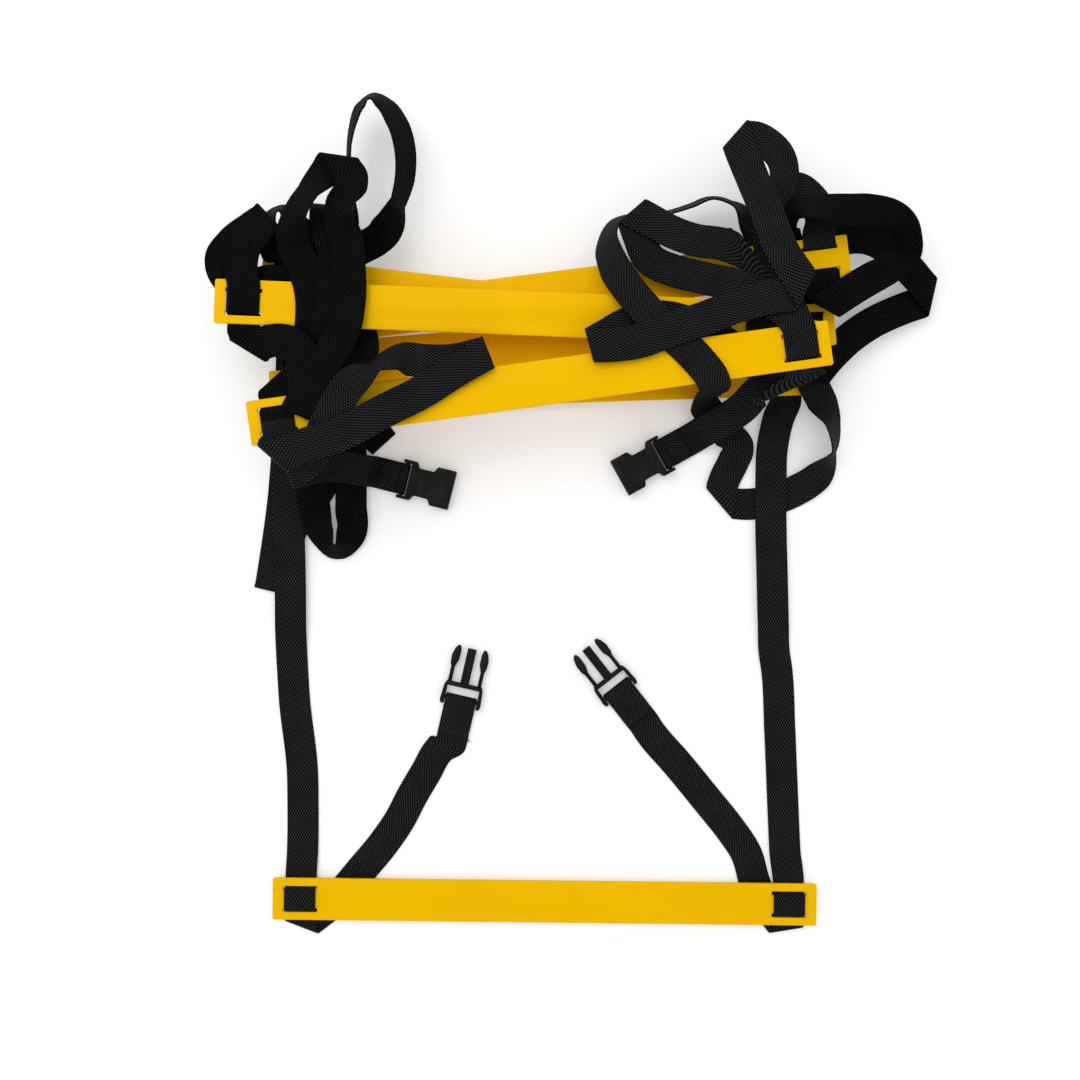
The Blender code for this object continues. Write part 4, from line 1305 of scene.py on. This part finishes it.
@dataclass
class Strap:
    """One piece of webbing, built along its route."""

    plan: StrapPlan
    reader: RouteReader = field(default_factory=RouteReader)

    def ribbon(self) -> Ribbon:
        """Rows of the whole strap, with its loop round a buckle's bar.

        Returns:
            The ribbon that the webbing is made round.
        """
        route = [Pass(*item) if isinstance(item, tuple) else item for item in self.plan.route]
        if self.plan.buckle:
            route += self.reader.bar_loop(self.plan.buckle)
        return Ribbon.along(self.reader.stations(route))

    def build(self) -> None:
        """Build the strap, dress it and let it ride."""
        mesh = self.ribbon().mesh(self.plan.name)
        # Webbing deep in the pile's folds takes the darker finish as painted shade.
        finish = PAINTED_SHADE_WEB if self.plan.in_painted_shade else PLAIN_WEB
        inputs = {"Depth": WEB.relief, "Material": finish.make()}
        piece = grown(self.plan.name, mesh, relief_tree(), inputs)
        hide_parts(*self.plan.nodes)
        if self.plan.start_body:
            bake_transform(piece)
        else:
            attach(piece, self.plan.body)
        LOG.info("strap %s", self.plan.name)


def buckle_frame(buckle: BucklePlace) -> tuple[Vector, Vector]:
    """World place and heading of a buckle's webbing bar.

    Args:
        buckle: The buckle half.

    Returns:
        Middle of the bar, and the direction from there to the buckle's front.
    """
    point = PLAN.place(buckle.x, buckle.y, buckle.bar_height / PLAN.pixel)
    angle = math.radians(buckle.heading)
    return point, Vector((math.cos(angle), math.sin(angle), 0))


@dataclass
class Stitching:
    """Rows of stitches across a strap's lap behind a buckle."""

    buckle: BucklePlace
    body: str
    pitch: float = 1.9 * MM
    stitch: float = 1.5 * MM
    radius: float = 0.32 * MM
    margin: float = 2.6 * MM
    inset: float = 3.5 * MM

    def build(self) -> None:
        """Lay a sewn box on the lap."""
        point, forward = buckle_frame(self.buckle)
        left = left_of(forward)
        top = point.z + LAP_HEIGHT + WEB.thickness / 2
        near, far = self.buckle.lap_start, self.buckle.lap - self.margin
        wide = WEB.width / 2 - self.inset
        corners = []
        for reach, side in ((near, 1), (far, 1), (far, -1), (near, -1)):
            corner = point - forward * reach + left * (side * wide)
            corner.z = top
            corners.append(corner)
        mesh = bpy.data.meshes.new("stitch_box")
        mesh.from_pydata(corners, [(0, 1), (1, 2), (2, 3), (3, 0)], [])
        inputs = {
            "Pitch": self.pitch,
            "Length": self.stitch,
            "Radius": self.radius,
            "Material": THREAD.make(),
        }
        name = f"{self.buckle.node}_stitches"
        piece = grown(name, mesh, stitch_tree(), inputs)
        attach(piece, self.body)
        LOG.info("stitches %s", name)


@dataclass
class FrayedEnd:
    """Loose fibres at one corner of a lap's cut end."""

    buckle: BucklePlace
    body: str
    fibres: int = 16
    radius: float = 0.22 * MM
    reach: Point = (1.5 * MM, 4.0 * MM)
    lean: Point = (0.1, 1.6)
    curl: Point = (-1.2, 1.2)
    taper: float = 0.6
    spread: float = 4.5 * MM
    steps: int = 5
    sides: int = 5
    seed: int = 11

    def build(self) -> None:
        """Grow the fibres as thin bent tubes and let them ride."""
        point, forward = buckle_frame(self.buckle)
        right = -left_of(forward)
        chance = np.random.default_rng(self.seed)
        corner = point - forward * self.buckle.lap + right * (WEB.width / 2)
        corner.z = WEB.thickness
        points = []
        for _ in range(self.fibres):
            share = chance.random() ** 2
            root = corner - right * (share * self.spread) + forward * WEB.gap
            lean = chance.uniform(*self.lean) * (1 - share)
            curl = chance.uniform(*self.curl)
            reach = chance.uniform(*self.reach)
            for step in range(self.steps):
                t = step / (self.steps - 1)
                side = lean + curl * t * t
                centre = root + (right * side - forward) * (reach * t)
                size = self.radius * (1 - self.taper * t)
                for at in range(self.sides):
                    turn = 2 * math.pi * at / self.sides
                    offset = right * math.cos(turn) + Vector((0, 0, math.sin(turn)))
                    points.append(centre + offset * size)
        name = f"{self.buckle.node}_frayed_end"
        piece = linked(name, tubes(name, points, self.steps, self.sides))
        piece.data.materials.append(THREAD.make())
        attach(piece, self.body)
        LOG.info("frayed end %s", name)


ROD_SEGMENTS = 24
ROUNDED_FROM = math.radians(35)
SHARP_FROM = math.radians(32)


def mirrored(half: list[Point]) -> list[Point]:
    """Outline of a half and of its mirror image across the X axis."""
    return half + [(x, -y) for x, y in reversed(half)]


@dataclass
class Moulding:
    """A moulded solid: an outline or box that others are cut from or joined to."""

    name: str
    body: bpy.types.Object | None = None
    tools: list[bpy.types.Object] = field(default_factory=list)

    def raise_outline(self, points: list[Point], low: float, high: float) -> bpy.types.Object:
        """Object of a flat outline carried from one height to another.

        Args:
            points: The outline's corners.
            low: Height of the lower face.
            high: Height of the upper face.

        Returns:
            The object.
        """
        mesh = bmesh.new()
        verts = [mesh.verts.new((x, y, low)) for x, y in points]
        face = mesh.faces.new(verts)
        risen = bmesh.ops.extrude_face_region(mesh, geom=[face])["geom"]
        tops = [item for item in risen if isinstance(item, bmesh.types.BMVert)]
        bmesh.ops.translate(mesh, vec=(0, 0, high - low), verts=tops)
        bmesh.ops.recalc_face_normals(mesh, faces=mesh.faces)
        return self.link(mesh)

    def box(self, size: Triple, centre: Triple) -> bpy.types.Object:
        """Object of a box by its size and centre.

        Args:
            size: Its sizes along, across and up.
            centre: Its middle.

        Returns:
            The object.
        """
        mesh = bmesh.new()
        bmesh.ops.create_cube(mesh, size=1)
        bmesh.ops.scale(mesh, vec=size, verts=mesh.verts)
        bmesh.ops.translate(mesh, vec=centre, verts=mesh.verts)
        return self.link(mesh)

    def rod(self, radius: float, length: float) -> bpy.types.Object:
        """Object of a round rod that lies across the middle.

        Args:
            radius: Its radius.
            length: Its length.

        Returns:
            The object.
        """
        mesh = bmesh.new()
        turn = Matrix.Rotation(math.pi / 2, 4, "X")
        sizes = {"radius1": radius, "radius2": radius, "depth": length}
        bmesh.ops.create_cone(mesh, cap_ends=True, segments=ROD_SEGMENTS, matrix=turn, **sizes)
        return self.link(mesh)

    def webbing_slot(self, rear: float, slot: float, thickness: float) -> None:
        """Cut the slot that a strap passes, and lay its bar across it.

        Args:
            rear: How far the buckle reaches behind the bar.
            slot: How far the slot reaches before the bar.
            thickness: The buckle's thickness.
        """
        depth = rear + slot + BUCKLE.overrun
        cut = (depth, BUCKLE.width - 2 * BUCKLE.rail, 2 * thickness)
        self.use(self.box(cut, (slot - depth / 2, 0, 0)))
        self.use(self.rod(BUCKLE.bar, BUCKLE.width - BUCKLE.rail), "UNION")

    def link(self, mesh: bmesh.types.BMesh) -> bpy.types.Object:
        """Link a new object of a mesh; the first one is the moulding's body.

        Args:
            mesh: The bmesh, which is freed.

        Returns:
            The object.
        """
        made = linked(self.name, settled(self.name, mesh))
        if self.body is None:
            self.body = made
        else:
            self.tools.append(made)
        return made

    def use(self, tool: bpy.types.Object, operation: str = "DIFFERENCE") -> None:
        """Cut a tool out of the body, or join it on.

        Args:
            tool: What is cut out or joined on.
            operation: DIFFERENCE to cut, UNION to join.
        """
        modifier = self.body.modifiers.new(operation.lower(), "BOOLEAN")
        modifier.operation = operation
        modifier.solver = "EXACT"
        modifier.object = tool

    def round_edges(self, width: float, segments: int = 3) -> None:
        """Round the sharp edges of the body.

        Args:
            width: How wide the rounding is.
            segments: Faces across the rounding.
        """
        bevel = self.body.modifiers.new("edges", "BEVEL")
        bevel.width = width
        bevel.segments = segments
        bevel.limit_method = "ANGLE"
        bevel.angle_limit = ROUNDED_FROM

    def finish(self, place: Matrix, material: bpy.types.Material) -> bpy.types.Object:
        """Plain mesh object of the moulding, moved to its place.

        Args:
            place: From the moulding's own axes to the world.
            material: Its finish.

        Returns:
            The object, at the origin, with its place in its mesh.
        """
        bpy.context.view_layer.update()
        shaped = self.body.evaluated_get(bpy.context.evaluated_depsgraph_get())
        mesh = bpy.data.meshes.new_from_object(shaped)
        mesh.transform(place)
        mesh.materials.clear()
        mesh.materials.append(material)
        mesh.shade_smooth()
        mesh.set_sharp_from_angle(angle=SHARP_FROM)
        for tool in [self.body, *self.tools]:
            bpy.data.objects.remove(tool)
        return linked(self.name, mesh)


def frame_matrix(point: Vector, forward: Vector) -> Matrix:
    """Matrix from a piece's own axes, X forward and Z up, to the world."""
    turn = Matrix.Rotation(math.atan2(forward.y, forward.x), 4, "Z")
    return Matrix.Translation(point) @ turn


@dataclass
class Rung:
    """A flat rung with two slots through it at each end."""

    index: int
    corner_steps: int = 5

    def outline(self) -> list[Point]:
        """Outline of a flat bar with rounded corners.

        Returns:
            The outline's corners, all the way round.
        """
        points = []
        radius = RUNG.corner
        reach = RUNG.length / 2 - radius
        wide = RUNG.width / 2 - radius
        for quarter, (sign_x, sign_y) in enumerate(((1, 1), (-1, 1), (-1, -1), (1, -1))):
            for step in range(self.corner_steps + 1):
                turn = math.pi / 2 * (quarter + step / self.corner_steps)
                across = sign_x * reach + radius * math.cos(turn)
                points.append((across, sign_y * wide + radius * math.sin(turn)))
        return points

    def build(self) -> None:
        """Mould the rung and let it stand for its node."""
        node = RUNGS[self.index - 1].name
        centre, along, _ = rung_frame(self.index)
        moulding = Moulding(f"{node}_moulding")
        moulding.raise_outline(self.outline(), -RUNG.thickness / 2, RUNG.thickness / 2)
        slot = (WEB.width + 2 * RUNG.side_clearance, RUNG.slot, 2 * RUNG.thickness)
        slot_place = RUNG.length / 2 - RUNG.end_bar - slot[0] / 2
        for end in Side:
            for way in Way:
                at = (end.value * slot_place, way.value * (RUNG.centre_bar + RUNG.slot) / 2, 0)
                moulding.use(moulding.box(slot, at))
        moulding.round_edges(RUNG.edge)
        piece = moulding.finish(frame_matrix(centre, along), YELLOW.make())
        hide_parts(node)
        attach(piece, FIRST_BAY if self.index == 1 else PILE)
        LOG.info("rung %s", node)


@dataclass
class MaleBuckle:
    """Male half of a buckle: frame, webbing bar, spine and two sprung prongs."""

    place: BucklePlace
    thickness: float = 5.8 * MM
    rear: float = 5.5 * MM
    slot: float = 9.5 * MM
    cross: float = 3.2 * MM
    spine_length: float = 28.5 * MM
    spine_width: float = 7 * MM
    spine_thickness: float = 3.6 * MM
    rib_width: float = 1.5 * MM
    rib_height: float = 0.8 * MM
    prong_length: float = 29 * MM
    prong_arm: float = 3 * MM
    prong_barb: float = 6.2 * MM
    prong_thickness: float = 4 * MM
    prong_outer: float = 14.6 * MM
    prong_foot: float = 2.2 * MM
    grip: float = 0.5 * MM
    grip_lines: int = 4

    def build(self) -> None:
        """Mould the frame and both prongs."""
        self.frame()
        for way, label in ((1, "a"), (-1, "b")):
            self.prong(way, label)

    @property
    def front(self) -> float:
        """How far the frame's front face lies before the webbing bar."""
        return self.slot + self.cross

    def matrix(self) -> Matrix:
        """From the buckle's own axes to the world."""
        return frame_matrix(*buckle_frame(self.place))

    def frame(self) -> None:
        """Frame with its webbing slot, bar, spine and ribs."""
        moulding = Moulding(f"{self.place.node}_frame")
        wide = BUCKLE.width / 2
        half = [
            (-self.rear, wide),
            (-self.rear / 2, wide + BUCKLE.rail / 3),
            (self.slot, wide),
            (self.front, wide - BUCKLE.rail / 2),
        ]
        moulding.raise_outline(mirrored(half), -self.thickness / 2, self.thickness / 2)
        moulding.webbing_slot(self.rear, self.slot, self.thickness)
        root = self.front - self.cross / 2
        reach = self.front + self.spine_length
        spine = (reach - root, self.spine_width, self.spine_thickness)
        moulding.use(moulding.box(spine, ((reach + root) / 2, 0, 0)), "UNION")
        rib = (spine[0] - 2 * self.rib_width, self.rib_width, self.spine_thickness)
        for way in (1, -1):
            side = way * (self.spine_width / 2 - self.rib_width)
            at = (root + rib[0] / 2 + BUCKLE.edge, side, self.rib_height)
            moulding.use(moulding.box(rib, at), "UNION")
        moulding.round_edges(BUCKLE.edge)
        piece = moulding.finish(self.matrix(), BLACK.make())
        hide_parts(self.place.node)
        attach(piece, self.place.body)
        LOG.info("buckle %s", self.place.node)

    def prong(self, way: int, label: str) -> None:
        """One sprung prong with grip lines on its barb.

        Args:
            way: 1 for the left prong, -1 for the right.
            label: Its letter.
        """
        arm, outer, tip = self.prong_arm, self.prong_outer, self.prong_length
        inner = outer - self.prong_barb
        pivot = outer - arm
        barb = tip / 2
        foot = self.prong_foot / 2
        start = self.front + WEB.gap
        points = [
            (0, pivot - foot),
            (0, pivot + arm - foot),
            (barb - arm, pivot + arm - foot),
            (barb, outer),
            (barb + 2 * arm, outer + foot / 3),
            (tip - arm, outer - foot),
            (tip, outer - arm),
            (tip, inner + foot),
            (tip - arm, inner),
            (barb + arm, inner),
            (barb - arm, pivot - foot),
        ]
        outline = [(start + x, way * y) for x, y in points]
        moulding = Moulding(f"{self.place.node}_prong_{label}_moulding")
        moulding.raise_outline(outline, -self.prong_thickness / 2, self.prong_thickness / 2)
        groove = (self.grip, self.grip, 2 * self.prong_thickness)
        for line in range(self.grip_lines):
            reach = start + barb + arm + line * 2 * self.grip
            moulding.use(moulding.box(groove, (reach, way * (outer + foot / 3), 0)))
        moulding.round_edges(BUCKLE.edge / 2, segments=2)
        piece = moulding.finish(self.matrix(), BLACK.make())
        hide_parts(f"{self.place.node}_prong_{label}")
        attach(piece, f"{self.place.body}_prong_{label}")
        LOG.info("prong %s %s", self.place.node, label)


@dataclass
class FemaleBuckle:
    """Female half of a buckle: a waisted shell open at its mouth and sides."""

    place: BucklePlace
    thickness: float = BUCKLE.female_thickness
    length: float = 42 * MM
    rear: float = 2.6 * MM
    slot: float = 4.2 * MM
    cross: float = 6.5 * MM
    waist: float = 22.2 * MM
    flange: float = 7 * MM
    mouth: float = 15 * MM
    wall: float = 2.2 * MM
    cavity: float = 25.2 * MM
    panel_step: float = 0.5 * MM
    shoulder: float = 3.6 * MM
    steps: int = 6

    def half_outline(self, inset: float) -> list[Point]:
        """Left half of the shell's outline, drawn in by an inset.

        Args:
            inset: How far inside the shell's own outline it runs.

        Returns:
            Points from the rear to the mouth.
        """
        front = self.length - self.rear
        wide = BUCKLE.width / 2 - inset
        waist = self.waist / 2 - inset
        neck = self.flange + inset
        collar = front - self.mouth - BUCKLE.rail - inset
        points = [(-self.rear + inset, wide)]
        for start, before, after in ((neck, wide, waist), (collar, waist, wide)):
            for step in range(self.steps + 1):
                share = step / self.steps
                ease = (1 - math.cos(math.pi * share)) / 2
                points.append((start + share * self.shoulder, before + (after - before) * ease))
        points.append((front - inset, wide))
        return points

    def build(self) -> None:
        """Mould the shell with its slot, bar, cavity and sunk panels."""
        moulding = Moulding(f"{self.place.node}_shell")
        rise = self.thickness / 2
        moulding.raise_outline(mirrored(self.half_outline(0)), -rise, rise)
        moulding.webbing_slot(self.rear, self.slot, self.thickness)
        back = self.slot + self.cross
        front = self.length - self.rear
        cavity = (front - back + BUCKLE.overrun, self.cavity, self.thickness - 2 * self.wall)
        moulding.use(moulding.box(cavity, (back + cavity[0] / 2, 0, 0)))
        panel = mirrored([(x, y) for x, y in self.half_outline(2 * BUCKLE.rail) if x > back])
        for face in (rise, -rise):
            low, high = face - self.panel_step, face + self.panel_step
            moulding.use(moulding.raise_outline(panel, low, high))
        moulding.round_edges(BUCKLE.edge)
        piece = moulding.finish(frame_matrix(*buckle_frame(self.place)), BLACK.make())
        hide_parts(self.place.node)
        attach(piece, self.place.body)
        LOG.info("buckle %s", self.place.node)


@dataclass
class Studio:
    """Plain white floor, even soft light and a camera straight above."""

    floor_size: float = 6.0
    floor_drop: float = 0.05 * MM
    floor_colour: Colour = (0.93, 0.93, 0.93, 1)
    floor_rough: float = 0.9
    floor_glow: float = 0.22
    white: Colour = (1, 1, 1, 1)
    world_strength: float = 0.78
    key_energy: float = 11.5
    key_size: float = 1.6
    key_place: Triple = (-0.7, 0.9, 1.9)
    sensor: float = 36.0

    def build(self) -> None:
        """Make the floor, the world, the lamp and the camera."""
        self.floor()
        self.world()
        self.lamp()
        self.camera()
        bpy.context.scene.view_settings.view_transform = "Standard"

    def floor(self) -> None:
        """Lay the floor, which shows white but for the shadow on it."""
        mesh = bmesh.new()
        bmesh.ops.create_grid(mesh, x_segments=1, y_segments=1, size=self.floor_size / 2)
        floor = linked("floor", settled("floor", mesh))
        floor.location.z = -self.floor_drop
        floor.data.materials.append(self.floor_material())

    def floor_material(self) -> bpy.types.Material:
        """Matt white that adds a little light of its own for the camera only.

        Returns:
            The material.
        """
        made, shader, material = new_material("floor_white")
        rays = made.add("ShaderNodeLightPath")["Is Camera Ray"]
        made.feed(shader["Base Color"], self.floor_colour)
        made.feed(shader["Roughness"], self.floor_rough)
        made.feed(shader["Specular IOR Level"], 0)
        made.feed(shader["Emission Color"], self.white)
        made.feed(shader["Emission Strength"], made.calc("MULTIPLY", rays, self.floor_glow))
        return material

    def world(self) -> None:
        """White surroundings at a plain level."""
        world = bpy.data.worlds.new("studio")
        bpy.context.scene.world = world
        world.use_nodes = True
        made = NodeTree(world.node_tree)
        shade = world.node_tree.nodes["Background"].inputs
        rays = made.add("ShaderNodeLightPath")["Is Camera Ray"]
        made.feed(shade["Color"], self.white)
        made.feed(shade["Strength"], made.spread(rays, self.world_strength, 1))

    def lamp(self) -> None:
        """Hang a square lamp that looks at the middle of the ladder."""
        data = bpy.data.lights.new("key", "AREA")
        data.energy = self.key_energy
        data.size = self.key_size
        lamp = linked("key", data)
        lamp.location = self.key_place
        lamp.rotation_euler = Vector(self.key_place).to_track_quat("Z", "Y").to_euler()

    def camera(self) -> None:
        """Hang the camera over the middle of the plan view."""
        data = bpy.data.cameras.new("camera")
        data.sensor_width = self.sensor
        data.lens = self.sensor * PLAN.view_height / (PLAN.picture * PLAN.pixel)
        camera = linked("camera", data)
        middle = PLAN.place(*PLAN.view_centre, 0)
        camera.location = (middle.x, middle.y, PLAN.view_height)
        bpy.context.scene.camera = camera


def main() -> None:
    """Build the ladder's pieces in order, then the studio round them."""
    logging.basicConfig(level=logging.INFO)
    for index in range(1, len(RUNGS) + 1):
        Rung(index).build()
    for plan in STRAPS:
        Strap(plan).build()
    for place in (MALE_LEFT, MALE_RIGHT):
        MaleBuckle(place).build()
        Stitching(place, FIRST_BAY).build()
    FrayedEnd(MALE_LEFT, FIRST_BAY).build()
    for place in (FEMALE_LEFT, FEMALE_RIGHT):
        FemaleBuckle(place).build()
        Stitching(place, PILE).build()
    Studio().build()


if __name__ == "__main__":
    main()
